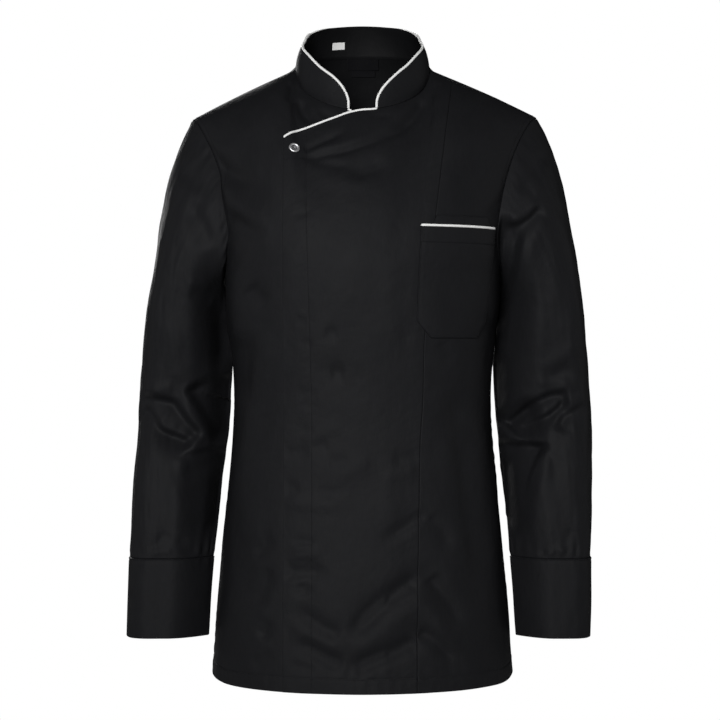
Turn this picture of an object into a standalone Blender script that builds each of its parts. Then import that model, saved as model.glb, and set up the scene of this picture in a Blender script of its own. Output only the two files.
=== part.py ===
"""Chef jacket in its worn shape with nobody in it: stand collar, slanted closing, white piping.

Sizes are millimetres, turned into metres where a mesh is made. +X is the wearer's left, -Y the
front and +Z up. The origin is the middle of the neck, level with the neck ends of the shoulder
seams. The cloth is a thin wall: each piece is a grid of points on the outer surface, the same
grid moved inwards by the wall's thickness, and the rims that close the two.
"""
import bpy
import math
import numpy as np
from mathutils import Vector

MM = 0.001                    # one millimetre in metres
COLLECTION = "chef_jacket"

# Walls and clearances
GAP = 0.3                     # between two sewn pieces
COLLAR_GAP = 0.6              # where the collar stands on the neckline
CLOTH = 1.5                   # body and sleeves
FOLDED = 2.4                  # collar and cuffs, two plies and an interlining
PIPING_RADIUS = 1.6
SEAM_SHARE = 0.0006           # half a seam's gap, as a share of the way round a side
STEP = 0.002                  # share by which a surface is sampled for its slopes

# Torso, hem to underarm: height, half width, depth to the front, depth to the back
TORSO = (
    (-775, 189.2, 131, 121),
    (-725, 185.2, 130, 118),
    (-688, 183.2, 129, 116),
    (-650, 180.0, 127, 113),
    (-612, 176.4, 125, 110),
    (-575, 173.0, 123, 106),
    (-537, 169.2, 121, 102),
    (-500, 165.6, 120, 98),
    (-462, 162.4, 120, 95),
    (-425, 160.4, 121, 94),
    (-390, 160.9, 124, 96),
    (-364, 162.5, 127, 100),
    (-320, 166.8, 132, 109),
    (-290, 169.5, 135, 115),
    (-255, 171.8, 137, 121),
)
CHEST_Z = -255                # the torso ring at the underarm
FULLNESS = 0.25               # how much squarer than an ellipse a torso ring is

# Hem: share of the way from the middle to the side seam, height
HEM = ((0, -760), (0.57, -757), (0.75, -755.5), (0.88, -752), (1, -747.5))

# Neckline, where the collar is sewn on: degrees from the front middle, x, y, z
NECKLINE = (
    (0, 0, -62, -58),
    (13, 19, -60, -56.5),
    (38, 52, -49, -46),
    (65, 76, -27, -27),
    (90, 84, 0, 0),
    (120, 73, 31, 16),
    (150, 42, 54, 24),
    (180, 0, 62, 26),
)
NECK_SHARE = 0.31             # share of the way round a side that lies under the neckline
SHOULDER_SHARE = 0.86         # share at which the shoulder seam meets the sleeve
SHOULDER_NECK = (84, 0, 0)
SHOULDER_END = {-1: (214, 10, -62), 1: (219, 10, -59)}
SHOULDER_BOW = 2.0            # how far the seam's middle rises over a straight line
SHOULDER_BEYOND = (70, 0, -290)   # the way the surface goes on past the shoulder, for each share
# How the cloth runs up to the neckline and the seam: share of the way round, out, inwards, up
FRONT_RUN_UP = (
    (0, 0, 0.62, 0.79), (0.155, -0.42, 0.50, 0.70), (0.31, -0.10, 0.68, 0.36),
    (0.42, -0.05, 0.78, 0.20), (0.6, 0, 0.84, 0.08), (0.86, 0, 0.66, 0), (1, 0, 0.6, 0),
)
BACK_RUN_UP = (
    (0, 0, 0.47, 0.88), (0.155, -0.30, 0.52, 0.66), (0.31, -0.24, 0.74, -0.04),
    (0.42, -0.08, 0.82, 0.0), (0.6, 0, 0.86, 0.02), (0.86, 0, 0.70, 0), (1, 0, 0.6, 0),
)
CORNER_REACH = 0.20           # share over which the corner at the neck is rounded, lower down
CORNER_TAPS = (-1, -0.75, -0.5, -0.25, 0, 0.25, 0.5, 0.75, 1)

# Armholes: share of the way from the underarm to the shoulder, share of the way round the side
FRONT_ARMHOLE = (
    (0, 1.0), (0.015, 0.935), (0.045, 0.87), (0.09, 0.815), (0.15, 0.775),
    (0.25, 0.752), (0.38, 0.755), (0.55, 0.782), (0.75, 0.822), (1, 0.86),
)
BACK_ARMHOLE = (
    (0, 1.0), (0.015, 0.93), (0.045, 0.86), (0.09, 0.805), (0.15, 0.77),
    (0.25, 0.755), (0.38, 0.765), (0.55, 0.79), (0.75, 0.825), (1, 0.86),
)
ARMHOLE_STOPS = (0, 0.02, 0.06, 0.12, 0.2, 0.3, 0.42, 0.54, 0.66, 0.78, 0.9, 1)
BODY_STOPS = 18               # rows between the hem and the underarm

# Front closing and seams, as the front shows them: height, x
OVERLAP_EDGE = ((-775, -95.5), (-400, -95.5), (-90, -95.5))
PRINCESS_SEAM = (
    (-775, 65), (-708, 65), (-570, 67), (-457, 69), (-410, 72.5), (-347, 73.4),
    (-270, 79), (-187, 87.6), (-147, 92.6), (-83, 101), (-10, 112),
)
UNDERLAP_EDGE = ((-775, 22), (-400, 22), (-60, 22))
# Slanted top edges: x, height
OVERLAP_TOP = (
    (-97, -98), (-93, -92), (-86, -88), (-70, -82.5), (-45, -72.5), (-20, -63.2),
    (-9, -59.8), (5, -57.3), (19, -56.5), (21, 60), (200, 60),
)
OVERLAP_BEAD = (-95.4, 18.2)  # x between which the slanted edges carry piping
UNDERLAP_BEAD = (-18.4, -13)
UNDERLAP_TOP = ((-200, 60), (-21, 60), (-19, -56.5), (-9, -60), (5, -64.5), (30, -73))
OVERLAP_LIFT = 3.1            # how far the overlap stands out over the piece under it
LIFT_FADE = (26, 56)          # x between which the overlap comes down to the body
COVER_START = (-120, -99)     # x between which the right front goes smooth, to lie under it
COVERED_VALLEY = -0.9         # deepest fold of the overlap above the smooth part
# Degrees round the neck, and shares along the shoulder, at which the panels have their points
FRONT_NECK_MARKS = (13, 17, 24, 35, 48, 62, 76, 90)
BACK_NECK_MARKS = (104, 120, 138, 158)
SHOULDER_MARKS = (0.44, 0.56, 0.67, 0.77)

# Sleeves, wrist to underarm: height, inner x, outer x, middle y, half depth
LEFT_SLEEVE = (
    (-607, 184.5, 283.5, -8, 42), (-575, 182.5, 284.5, -4, 45), (-537, 179, 286, 2, 48),
    (-500, 175.5, 287.2, 9, 51), (-462, 171.5, 287.6, 16, 54), (-425, 168, 287, 22, 57),
    (-388, 165.7, 285, 25, 60), (-364, 164.3, 283.5, 24, 63), (-345, 165.2, 281.5, 22, 65),
    (-320, 166.9, 279.5, 20, 67), (-290, 169.4, 276, 18, 69), (-262, 172, 271, 16, 70),
)
RIGHT_SLEEVE = (
    (-607, 185.5, 289.5, -8, 42), (-575, 182.2, 288.7, -4, 45), (-537, 179, 287, 2, 48),
    (-500, 175.2, 285.5, 9, 51), (-462, 170, 282.5, 16, 54), (-425, 167, 281.5, 22, 57),
    (-388, 166, 279, 25, 60), (-364, 164.4, 276.5, 24, 63), (-345, 165.2, 275, 22, 65),
    (-320, 166.9, 272.5, 20, 67), (-290, 169.4, 268.5, 18, 69), (-262, 172, 263, 16, 70),
)
SLEEVE_TOP_Z = -290           # below this the sleeve is a stack of level rings
SLEEVE_END_Z = -606.5
CAP_STOPS = 6
ELBOW = (-370, -490)          # heights between which the rings lie close
RING_STEPS = (20.0, 13.0)     # between the rings above the elbow, and at it
FOREARM_STOPS = 6
FACING = (0.05, 0.45)         # share of a ring's depth over which the front's or back's folds set in
LEFT_CUFF = (
    (-704, 190, 283.5, -14, 39.5), (-655, 187.3, 284.4, -11, 41.5), (-607, 183.6, 284.6, -8, 43.2),
)
RIGHT_CUFF = (
    (-704, 191, 293, -14, 39.5), (-655, 188.2, 291.8, -11, 41.5), (-607, 184.6, 290.6, -8, 43.2),
)
CUFF_STOPS = 4
# The way a sleeve leaves the armhole: share round the hole from the underarm up the front, x, y, z
SLEEVE_START = (
    (0, 0.16, 0, -0.99), (0.12, 0.32, -0.22, -0.92), (0.28, 0.60, -0.32, -0.73),
    (0.40, 0.58, -0.16, -0.80), (0.5, 0.50, 0, -0.87), (0.60, 0.58, 0.16, -0.80),
    (0.72, 0.60, 0.32, -0.73), (0.88, 0.32, 0.24, -0.92), (1, 0.16, 0, -0.99),
)

# Collar, top edge: degrees from the front middle, x, y, z
COLLAR_TOP = (
    (0, 0, -66, -25), (28, 36, -60, -17), (43, 52, -53, -6), (61, 66.5, -41, 10),
    (90, 76, -18, 26), (108, 72.5, 2, 36), (118, 67, 15, 45), (135, 54, 32, 55),
    (158, 29, 47, 61), (180, 0, 52, 63),
)
COLLAR_END = 13.0             # degrees at which the collar's front end stands
COLLAR_STUB = 0.7             # degrees of rounding left out, so that the end has some height
COLLAR_CORNER = {-1: 36, 1: 41}   # degrees at which each rounded front corner is full height
CORNER_POWER = 2.2
COLLAR_BOW = 1.5              # how far the collar swells between its edges
COLLAR_ANGLES = (13, 14.5, 17, 20, 24, 29, 35, 48, 62, 76, 90, 104, 120, 138, 158, 180)
COLLAR_ROWS = 4
BEAD_CROSSES = (-6, 26)       # y between which the bead crosses from the top to the outer side
BEAD_DROP = 2.2               # how far under the top edge it then lies
BEAD_LEAN = 0.4               # how far out the collar's side goes for each step down
BEAD_SPACING = 7              # between a bead's points on the collar
POCKET_BEAD_SPACING = 9

# Chest pocket, as the front shows it: height, left x, right x
POCKET = (
    (-336, 81, 137), (-316, 64.2, 147.5), (-280, 65.2, 150.5), (-240, 66.8, 154), (-204.4, 68.5, 157.2),
)
POCKET_COLUMNS = 9
POCKET_ROWS = (0, 0.5, 1, 1.5, 2, 2.5, 3, 3.5, 4)     # in rows of the table above
POCKET_REST = 0.9             # how far the pocket lies off the body
POCKET_MOUTH = 3.8            # and at its mouth
POCKET_OPENS = (-264, -217)   # heights between which it comes to stand off
PEN_SLOT = ((-224, 84, 153), (-199, 84, 153), (-189.5, 88, 150))
PEN_SLOT_WALL = 1.2

# Ring snap
SNAP_PLACE = (-83, -108)      # x, z on the overlap
SNAP_RING = 5.3               # radius of the ring's middle line
SNAP_WIRE = 1.35
SNAP_DISC = (3.6, 1.3)        # radius and thickness of the sunk centre

# Labels inside the neck
LABEL_WALL = 0.7
LABEL_CLEAR = 1.2             # between a neck label and the cloth it hangs on
WHITE_CLEAR = 0.7             # and for the label on the collar
NECK_LABEL = (-20, 21, 9.8, 23.4)     # left, right, bottom, top on the back's inner side
SIZE_LABEL = (-14, 16.5, 1.8, 9.2)
WHITE_LABEL = (-163.5, -151.5, 0.24, 0.48)   # degrees round the collar, shares of its height

SIDE_CALM = (0.86, 0.98)      # shares of the way round over which folds die out at a side seam
SHOULDER_CALM = (1.86, 1.99)  # and up over which they die out at the shoulder seam
# Folds that the worn shape has: x, z at one end, x, z at the other, half width, height
FRONT_FOLDS = (
    (-192, -108, -169, -131, 15, -3.0), (-169, -131, -128, -153, 16, -3.0),
    (-186, -147, -149, -176, 15, 2.6), (-149, -176, -112, -208, 16, 2.6),
    (-163, -205, -128, -203, 14, -2.2), (-20, -112, 52, -88, 15, -2.0),
    (-72, -122, -10, -100, 15, 1.6), (77, -45, 55, -76, 12, -2.0),
    (70, -620, 4, -682, 17, -2.6), (70, -620, 106, -660, 16, -2.4),
    (67, -655, -2, -706, 16, 2.2), (67, -655, 110, -694, 15, 2.0),
    (67, -692, -8, -728, 16, -2.4), (67, -692, 112, -724, 15, -2.2),
    (-108, -570, -134, -596, 14, -2.2), (-108, -616, -136, -652, 15, -2.4),
    (-90, -700, -36, -723, 14, -2.0), (100, -395, 150, -440, 18, -2.2),
    (-100, -400, -148, -452, 18, -2.4), (-40, -380, 30, -405, 20, -1.8),
)
BACK_FOLDS = (
    (-60, -395, 70, -388, 17, -3.0), (-95, -432, 20, -420, 17, 2.6), (10, -450, 112, -462, 17, -2.8),
    (-120, -120, -90, -215, 16, -2.6), (118, -118, 92, -205, 16, -2.8),
    (-60, -500, -92, -640, 20, 2.4), (55, -520, 70, -670, 22, 2.6), (-10, -560, 5, -720, 20, -2.2),
    (-40, -48, 44, -52, 14, -1.8), (-148, -170, -120, -235, 14, 2.2), (150, -165, 124, -238, 14, 2.4),
)
# Sleeve folds, seen from the front and from the back: x without its sign, as above
LEFT_SLEEVE_FRONT = (
    (250, -382, 226, -404, 12, -4.5), (226, -404, 186, -432, 12, -4.2),
    (252, -400, 182, -448, 11, 3.6), (258, -404, 232, -432, 11, -3.6), (232, -432, 200, -440, 11, -3.4),
    (254, -412, 228, -456, 11, 3.2), (228, -456, 224, -492, 12, 2.6), (272, -412, 238, -440, 11, -2.8),
    (184, -460, 226, -464, 13, -4.0), (222, -112, 196, -160, 12, -3.2), (222, -182, 184, -210, 13, -3.8),
    (236, -140, 214, -196, 13, 2.4), (228, -470, 208, -560, 15, 2.2), (258, -560, 240, -596, 12, -2.0),
)
RIGHT_SLEEVE_FRONT = (
    (270, -408, 228, -410, 12, -4.2), (228, -410, 194, -458, 12, -4.4),
    (262, -414, 216, -434, 12, 3.6), (216, -434, 190, -462, 11, 3.4),
    (266, -424, 242, -452, 12, -3.8), (242, -452, 200, -468, 12, -3.6),
    (250, -470, 214, -484, 14, 2.4), (232, -486, 194, -482, 13, -3.0),
    (218, -132, 196, -156, 12, -3.0), (218, -174, 194, -230, 13, -3.4),
    (232, -160, 222, -270, 14, 2.6), (236, -380, 224, -330, 14, 2.0), (222, -570, 250, -596, 12, -2.0),
)
SLEEVE_BACK = (
    (190, -400, 262, -388, 13, 3.4), (196, -428, 270, -420, 13, -3.6), (188, -452, 256, -452, 13, 3.0),
    (200, -478, 262, -486, 14, -2.8), (196, -150, 214, -210, 13, -2.8), (226, -130, 238, -220, 14, 2.2),
)

COLOURS = {                   # red, green, blue, roughness, metallic
    "twill": (0.014, 0.014, 0.016, 0.82, 0.0),
    "piping": (0.80, 0.80, 0.79, 0.60, 0.0),
    "label_black": (0.010, 0.010, 0.011, 0.65, 0.0),
    "label_white": (0.78, 0.78, 0.77, 0.70, 0.0),
    "snap_metal": (0.72, 0.72, 0.73, 0.28, 1.0),
    "snap_centre": (0.34, 0.34, 0.35, 0.40, 1.0),
}


# ---- curves and vectors
def unit(vectors):
    """Vectors of length one."""
    return vectors / np.maximum(np.linalg.norm(vectors, axis=-1, keepdims=True), 1e-12)


def dot(first, second):
    """Dot product, kept as a last axis of one."""
    return np.sum(first * second, axis=-1, keepdims=True)


def hermite(start, start_slope, end, end_slope, t):
    """Cubic between two points that leaves and arrives along two slopes."""
    a = 2 * t**3 - 3 * t**2 + 1
    b = t**3 - 2 * t**2 + t
    c = t**3 - t**2
    return a * start + b * start_slope + (1 - a) * end + c * end_slope


def spline(rows, at):
    """A table's columns, read at places of its first column along smooth curves."""
    rows = np.array(rows, float)
    knots, values = rows[:, 0], rows[:, 1:]
    slopes = np.gradient(values, knots, axis=0)
    at = np.clip(np.asarray(at, float), knots[0], knots[-1])
    low = np.clip(np.searchsorted(knots, at, side="right") - 1, 0, len(knots) - 2)
    step = (knots[low + 1] - knots[low])[..., None]
    t = (at - knots[low])[..., None] / step
    found = hermite(values[low], slopes[low] * step, values[low + 1], slopes[low + 1] * step, t)
    return np.moveaxis(found, -1, 0)


def straight(rows, at):
    """A two-column table, read along straight lines."""
    rows = np.array(rows, float)
    return np.interp(at, rows[:, 0], rows[:, 1])


def ramp(low, high, at):
    """From 0 at low to 1 at high, with soft ends."""
    t = np.clip((at - low) / (high - low), 0, 1)
    return t * t * (3 - 2 * t)


def fold_height(folds, x, z):
    """How far the folds push the cloth out at a place seen from the front or back."""
    height = np.zeros(np.broadcast(x, z).shape)
    for x0, z0, x1, z1, half_width, peak in folds:
        run_x, run_z = x1 - x0, z1 - z0
        t = np.clip(((x - x0) * run_x + (z - z0) * run_z) / (run_x**2 + run_z**2), 0, 1)
        away = (x - x0 - t * run_x)**2 + (z - z0 - t * run_z)**2
        height = height + peak * np.exp(-away / half_width**2)
    return height


# ---- torso surface: face -1 front, 1 back; around -1 to 1; up 0 hem, 1 underarm, 2 top edge
def torso_ring(face, around, z):
    """Points on the level ring of the torso at a height."""
    half, front, back = spline(TORSO, z)
    depth = front if face < 0 else back
    angle = around * math.pi / 2
    y = face * depth * np.cos(angle) * (1 + FULLNESS * np.sin(angle)**2)
    return np.stack(np.broadcast_arrays(half * np.sin(angle), y, z), -1)


def neck_turn(face, around):
    """Degrees round the neck, from its front middle, of a share of the way round."""
    turn = 90 * np.clip(np.abs(around) / NECK_SHARE, 0, 1)
    return turn if face < 0 else 180 - turn


def edge_points(face, around):
    """Points on the neckline and, past it, on the shoulder seam."""
    share = np.abs(around)
    right = (around < 0)[..., None]
    x, y, z = spline(NECKLINE, neck_turn(face, around))
    neck = np.stack([x, y, z], -1)
    start = np.array(SHOULDER_NECK, float)
    end = np.where(right, np.array(SHOULDER_END[-1], float), np.array(SHOULDER_END[1], float))
    run = np.clip((share - NECK_SHARE) / (SHOULDER_SHARE - NECK_SHARE), 0, 1)[..., None]
    past = np.maximum(share - SHOULDER_SHARE, 0)[..., None] * np.array(SHOULDER_BEYOND, float)
    shoulder = start + run * (end - start) + past
    shoulder[..., 2] += SHOULDER_BOW * 4 * (run * (1 - run))[..., 0]
    points = np.where((share <= NECK_SHARE)[..., None], neck, shoulder)
    return points * np.where(right, [-1, 1, 1], [1, 1, 1])


def top_edge(face, around, up):
    """The edge a column of the torso runs up to, its corner rounded below it, and the way up."""
    reach = CORNER_REACH * np.clip(2 - up, 0, 1)
    edge, weights = 0, 0
    for tap in CORNER_TAPS:
        weight = 1.25 - abs(tap)
        edge = edge + weight * edge_points(face, around + tap * reach)
        weights += weight
    side = np.where(around < 0, -1.0, 1.0)
    out, inwards, rise = spline(FRONT_RUN_UP if face < 0 else BACK_RUN_UP, np.abs(around))
    return edge / weights, np.stack([side * out, -face * inwards, rise], -1)


def torso_base(face, around, up):
    """The torso's surface with no folds in it."""
    around, up = np.broadcast_arrays(np.asarray(around, float), np.asarray(up, float))
    hem = spline(HEM, np.abs(around))[0]
    low = torso_ring(face, around, hem + np.clip(up, 0, 1) * (CHEST_Z - hem))
    level = np.full(around.shape, float(CHEST_Z))
    chest = torso_ring(face, around, level)
    rise = chest - torso_ring(face, around, level - 1)
    edge, slope = top_edge(face, around, up)
    span = np.linalg.norm(edge - chest, axis=-1, keepdims=True)
    high = hermite(chest, rise * span, edge, slope * span, np.clip(up - 1, 0, 1)[..., None])
    return np.where(up[..., None] <= 1, low, high)


def outward(surface, face, around, up):
    """Unit normals of a torso surface, pointing out of the jacket."""
    across = (surface(face, np.minimum(around + STEP, 1), up)
              - surface(face, np.maximum(around - STEP, -1), up))
    along = (surface(face, around, np.minimum(up + STEP, 2))
             - surface(face, around, np.maximum(up - STEP, 0)))
    return unit(-face * np.cross(across, along))


def folded(face, around, up, deepest):
    """The torso's surface with its folds, and how much of it the overlap covers."""
    around, up = np.broadcast_arrays(np.asarray(around, float), np.asarray(up, float))
    base = torso_base(face, around, up)
    folds = FRONT_FOLDS if face < 0 else BACK_FOLDS
    calm = (1 - ramp(*SIDE_CALM, np.abs(around))) * (1 - ramp(*SHOULDER_CALM, up))
    height = calm * fold_height(folds, base[..., 0], base[..., 2])
    lifted = 1 - ramp(*LIFT_FADE, base[..., 0])
    cover = ramp(*COVER_START, base[..., 0]) * lifted if face < 0 else 0 * lifted
    height = height * (1 - cover) + np.maximum(height, deepest) * cover
    return base, height, cover


def torso(face, around, up):
    """The torso's outer surface, smooth where the overlap covers it."""
    base, height, cover = folded(face, around, up, 0)
    height = height * (1 - cover)
    return base + outward(torso_base, face, around, up) * height[..., None]


def overlap(face, around, up):
    """The outer surface of the wearer's left front, lifted where it lies over the right one."""
    base, height, _ = folded(face, around, up, COVERED_VALLEY)
    lift = OVERLAP_LIFT * (1 - ramp(*LIFT_FADE, base[..., 0]))
    return base + outward(torso_base, face, around, up) * (height + lift)[..., None]


# ---- places on the torso
def upright_line(face, rows):
    """Share of the way round, for each up, of a line given as heights and x."""
    ups = np.linspace(0, 2, 101)
    rounds = np.linspace(-0.9, 0.9, 361)
    shares = []
    for up in ups:
        points = torso_base(face, rounds, up)
        miss = points[:, 0] - straight(rows, points[:, 2])
        shares.append(np.interp(0, miss, rounds))
    return lambda up: np.interp(up, ups, shares)


def level_line(face, rows):
    """Up, for each share of the way round, of a line given as x and heights."""
    rounds = np.linspace(-0.8, 0.8, 161)
    ups = np.linspace(0, 2, 401)
    found = []
    for around in rounds:
        points = torso_base(face, around, ups)
        miss = points[:, 2] - straight(rows, points[:, 0])
        found.append(np.interp(0, miss, ups))
    return lambda around: np.interp(around, rounds, found)


def place(face, x, z):
    """The share and up at which the torso's surface passes x and z, seen from the front."""
    x, z = np.broadcast_arrays(np.asarray(x, float), np.asarray(z, float))
    around = x / 260
    up = np.ones(x.shape)
    for _ in range(20):
        here = torso_base(face, around, up)
        by_around = (torso_base(face, around + STEP, up) - here) / STEP
        by_up = (torso_base(face, around, up + STEP) - here) / STEP
        miss_x, miss_z = x - here[..., 0], z - here[..., 2]
        spread = by_around[..., 0] * by_up[..., 2] - by_up[..., 0] * by_around[..., 2]
        step_around = (miss_x * by_up[..., 2] - miss_z * by_up[..., 0]) / spread
        step_up = (miss_z * by_around[..., 0] - miss_x * by_around[..., 2]) / spread
        around = np.clip(around + np.clip(step_around, -0.2, 0.2), -0.97, 0.97)
        up = np.clip(up + np.clip(step_up, -0.3, 0.3), 0.0, 1.99)
    return around, up


# ---- meshes
def material(slot):
    """The slot's plain material."""
    found = bpy.data.materials.get(slot)
    if found:
        return found
    red, green, blue, roughness, metallic = COLOURS[slot]
    made = bpy.data.materials.new(slot)
    made.use_nodes = True
    shader = made.node_tree.nodes["Principled BSDF"]
    shader.inputs["Base Color"].default_value = (red, green, blue, 1)
    shader.inputs["Roughness"].default_value = roughness
    shader.inputs["Metallic"].default_value = metallic
    made.diffuse_color = (red, green, blue, 1)
    return made


def keep(made, name, slot):
    """Name an object, give it its material and put it in the jacket's collection."""
    made.name = name
    made.data.name = name
    made.data.materials.clear()
    made.data.materials.append(material(slot))
    for collection in list(made.users_collection):
        collection.objects.unlink(made)
    bpy.data.collections[COLLECTION].objects.link(made)
    return made


def wall(name, slot, outer, inner, ring=False):
    """A closed sheet from a grid of outer points and one of inner points."""
    rows, columns = outer.shape[:2]
    points = np.concatenate([outer.reshape(-1, 3), inner.reshape(-1, 3)]) * MM
    under = rows * columns

    def at(row, column):
        return row * columns + column % columns

    faces = []
    spans = columns if ring else columns - 1
    for row in range(rows - 1):
        for column in range(spans):
            a, b = at(row, column), at(row, column + 1)
            c, d = at(row + 1, column + 1), at(row + 1, column)
            faces.append((a, b, c, d))
            faces.append((under + d, under + c, under + b, under + a))
    for column in range(spans):
        a, b = at(0, column), at(0, column + 1)
        faces.append((b, a, under + a, under + b))
        a, b = at(rows - 1, column), at(rows - 1, column + 1)
        faces.append((a, b, under + b, under + a))
    if not ring:
        for row in range(rows - 1):
            a, b = at(row, 0), at(row + 1, 0)
            faces.append((a, b, under + b, under + a))
            a, b = at(row, columns - 1), at(row + 1, columns - 1)
            faces.append((a, under + a, under + b, b))
    mesh = bpy.data.meshes.new(name)
    mesh.from_pydata(points.tolist(), [], faces)
    mesh.validate()
    mesh.shade_smooth()
    mesh.set_sharp_from_angle(angle=math.radians(40))
    made = bpy.data.objects.new(name, mesh)
    bpy.context.scene.collection.objects.link(made)
    turn_out(made)
    return keep(made, name, slot)


def turn_out(made):
    """Turn the faces outwards where the grid ran the other way round."""
    mesh = made.data
    volume = 0.0
    for face in mesh.polygons:
        corners = [mesh.vertices[i].co for i in face.vertices]
        for second, third in zip(corners[1:], corners[2:]):
            volume += corners[0].dot(second.cross(third))
    if volume < 0:
        mesh.flip_normals()


def tube(name, slot, path, radius):
    """A round bead along a path, as a curve with filled caps."""
    curve = bpy.data.curves.new(name, "CURVE")
    curve.dimensions = "3D"
    curve.bevel_depth = radius * MM
    curve.bevel_resolution = 1
    curve.use_fill_caps = True
    spline_made = curve.splines.new("POLY")
    spline_made.points.add(len(path) - 1)
    for point, place_on in zip(spline_made.points, path):
        point.co = (*(place_on * MM), 1)
    made = bpy.data.objects.new(name, curve)
    bpy.context.scene.collection.objects.link(made)
    return keep(made, name, slot)


def evened(path, spacing):
    """A path's points, respaced along a smooth curve through them."""
    path = np.array(path, float)
    steps = np.linalg.norm(np.diff(path, axis=0), axis=1)
    length = np.concatenate([[0], np.cumsum(steps)])
    count = max(2, int(round(length[-1] / spacing)) + 1)
    return spline(np.column_stack([length, path]), np.linspace(0, length[-1], count)).T


# ---- fronts and back
def strips(lines, marks):
    """For each column of a panel, its strip between two lines and its share of the way across.

    The columns meet the marks, which are shares of the way round a side, at the top edge.
    """
    strip, share = [], []
    for index, (left, right) in enumerate(zip(lines, lines[1:])):
        start, end = float(left(2.0)), float(right(2.0))
        inside = [mark for mark in marks if start + 0.004 < mark < end - 0.004]
        stops = [start, *inside, end] if index == 0 else [*inside, end]
        strip += [index] * len(stops)
        share += [(stop - start) / (end - start) for stop in stops]
    return np.array(strip), np.array(share)


def panel(face, surface, lines, marks, top):
    """Outer points and normals of a torso panel across upright lines, hem to top."""
    strip, share = strips(lines, marks)
    stops = np.concatenate([np.linspace(0, 1, BODY_STOPS), 1 + np.array(ARMHOLE_STOPS[1:])])[:, None]
    up = stops + 0 * share
    for _ in range(10):
        around = 0 * up
        for index, (left, right) in enumerate(zip(lines, lines[1:])):
            here = left(up) * (1 - share) + right(up) * share
            around = np.where(strip == index, here, around)
        up = np.where(stops <= 1, stops, 1 + (stops - 1) * (top(around) - 1))
    return surface(face, around, up), outward(surface, face, around, up)


def side_line(face, side):
    """The armhole, and below it the side seam."""
    rows = FRONT_ARMHOLE if face < 0 else BACK_ARMHOLE

    def line(up):
        share = spline(rows, np.clip(up - 1, 0, 1))[0]
        return side * np.where(up <= 1, 1 - SEAM_SHARE, np.minimum(share, 1 - SEAM_SHARE))

    return line


def shoulder_line(around):
    """Up at the neckline and at the shoulder seam, which leaves half a gap."""
    return np.where(np.abs(around) > NECK_SHARE - STEP, 2 - 3 * SEAM_SHARE, 2.0)


def panel_marks(degrees):
    """Both sides' marks, as shares of the way round, in order."""
    neck = [NECK_SHARE * value / 90 for value in degrees]
    half = sorted(neck + list(SHOULDER_MARKS))
    return [-mark for mark in reversed(half)] + [0.0] + half


def fronts():
    """The two pieces of the wearer's left front, and the right front under them."""
    marks = panel_marks(FRONT_NECK_MARKS)
    princess = upright_line(-1, PRINCESS_SEAM)
    overlap_edge = upright_line(-1, OVERLAP_EDGE)
    underlap_edge = upright_line(-1, UNDERLAP_EDGE)
    overlap_top = level_line(-1, OVERLAP_TOP)
    underlap_top = level_line(-1, UNDERLAP_TOP)
    pieces = (
        ("front_left_centre", overlap, (overlap_edge, underlap_edge, lambda up: princess(up) - SEAM_SHARE),
         lambda around: np.minimum(shoulder_line(around), overlap_top(around))),
        ("front_left_side", overlap, (lambda up: princess(up) + SEAM_SHARE, side_line(-1, 1)),
         shoulder_line),
        ("front_right", torso, (side_line(-1, -1), overlap_edge, underlap_edge),
         lambda around: np.minimum(shoulder_line(around), underlap_top(around))),
    )
    for name, surface, lines, top in pieces:
        outer, normal = panel(-1, surface, lines, marks, top)
        inner = outer - CLOTH * normal
        wall(name, "twill", outer, inner)
        if name == "front_left_centre":
            slant_piping("piping_overlap", outer[-1], inner[-1], normal[-1], *OVERLAP_BEAD)
        if name == "front_right":
            slant_piping("piping_underlap", outer[-1], inner[-1], normal[-1], *UNDERLAP_BEAD)


def back():
    """The back, in one piece."""
    marks = panel_marks([180 - value for value in BACK_NECK_MARKS] + [90])
    lines = (side_line(1, -1), side_line(1, 1))
    outer, normal = panel(1, torso, lines, marks, shoulder_line)
    wall("back", "twill", outer, outer - CLOTH * normal)


def slant_piping(name, outer, inner, normal, first, last):
    """The bead above a slanted front edge, between two x."""
    middle = (outer + inner) / 2
    along = unit(np.gradient(middle, axis=0))
    beyond = unit(np.cross(along, normal))
    beyond = beyond * np.sign(beyond[:, 2:3])
    path = middle + (PIPING_RADIUS + GAP) * beyond
    inside = (path[:, 0] > first) & (path[:, 0] < last)
    x = np.array([first, *path[inside, 0], last])
    path = np.stack([np.interp(x, path[:, 0], path[:, axis]) for axis in range(3)], -1)
    tube(name, "piping", path, PIPING_RADIUS)


# ---- pieces that turn off an edge
def next_wall(edge, normal, beyond, way, gap=GAP):
    """Where a wall that leaves an edge along a way starts, and its normal there."""
    rise, run = dot(way, normal), dot(way, beyond)
    turn = np.arctan2(rise, run)
    inset = np.where(turn < 0, CLOTH * np.sin(-turn), 0)
    start = edge + gap * (np.cos(turn / 2) * beyond + np.sin(turn / 2) * normal) + inset * beyond
    return start, unit(run * normal - rise * beyond)


def armhole(side):
    """Loop of the armhole's points, normals and ways beyond it, from the underarm up the front."""
    stops = np.array(ARMHOLE_STOPS)
    points, normals = [], []
    for face, rows, order in ((-1, FRONT_ARMHOLE, stops), (1, BACK_ARMHOLE, stops[-2:0:-1])):
        share = spline(rows, order)[0]
        surface = overlap if face < 0 and side > 0 else torso
        points.append(surface(face, side * share, 1 + order))
        normals.append(outward(surface, face, side * share, 1 + order))
    points, normals = np.concatenate(points), np.concatenate(normals)
    along = unit(np.roll(points, -1, axis=0) - np.roll(points, 1, axis=0))
    normals = unit(normals - dot(normals, along) * along)
    return points, normals, side * np.cross(along, normals)


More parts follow.
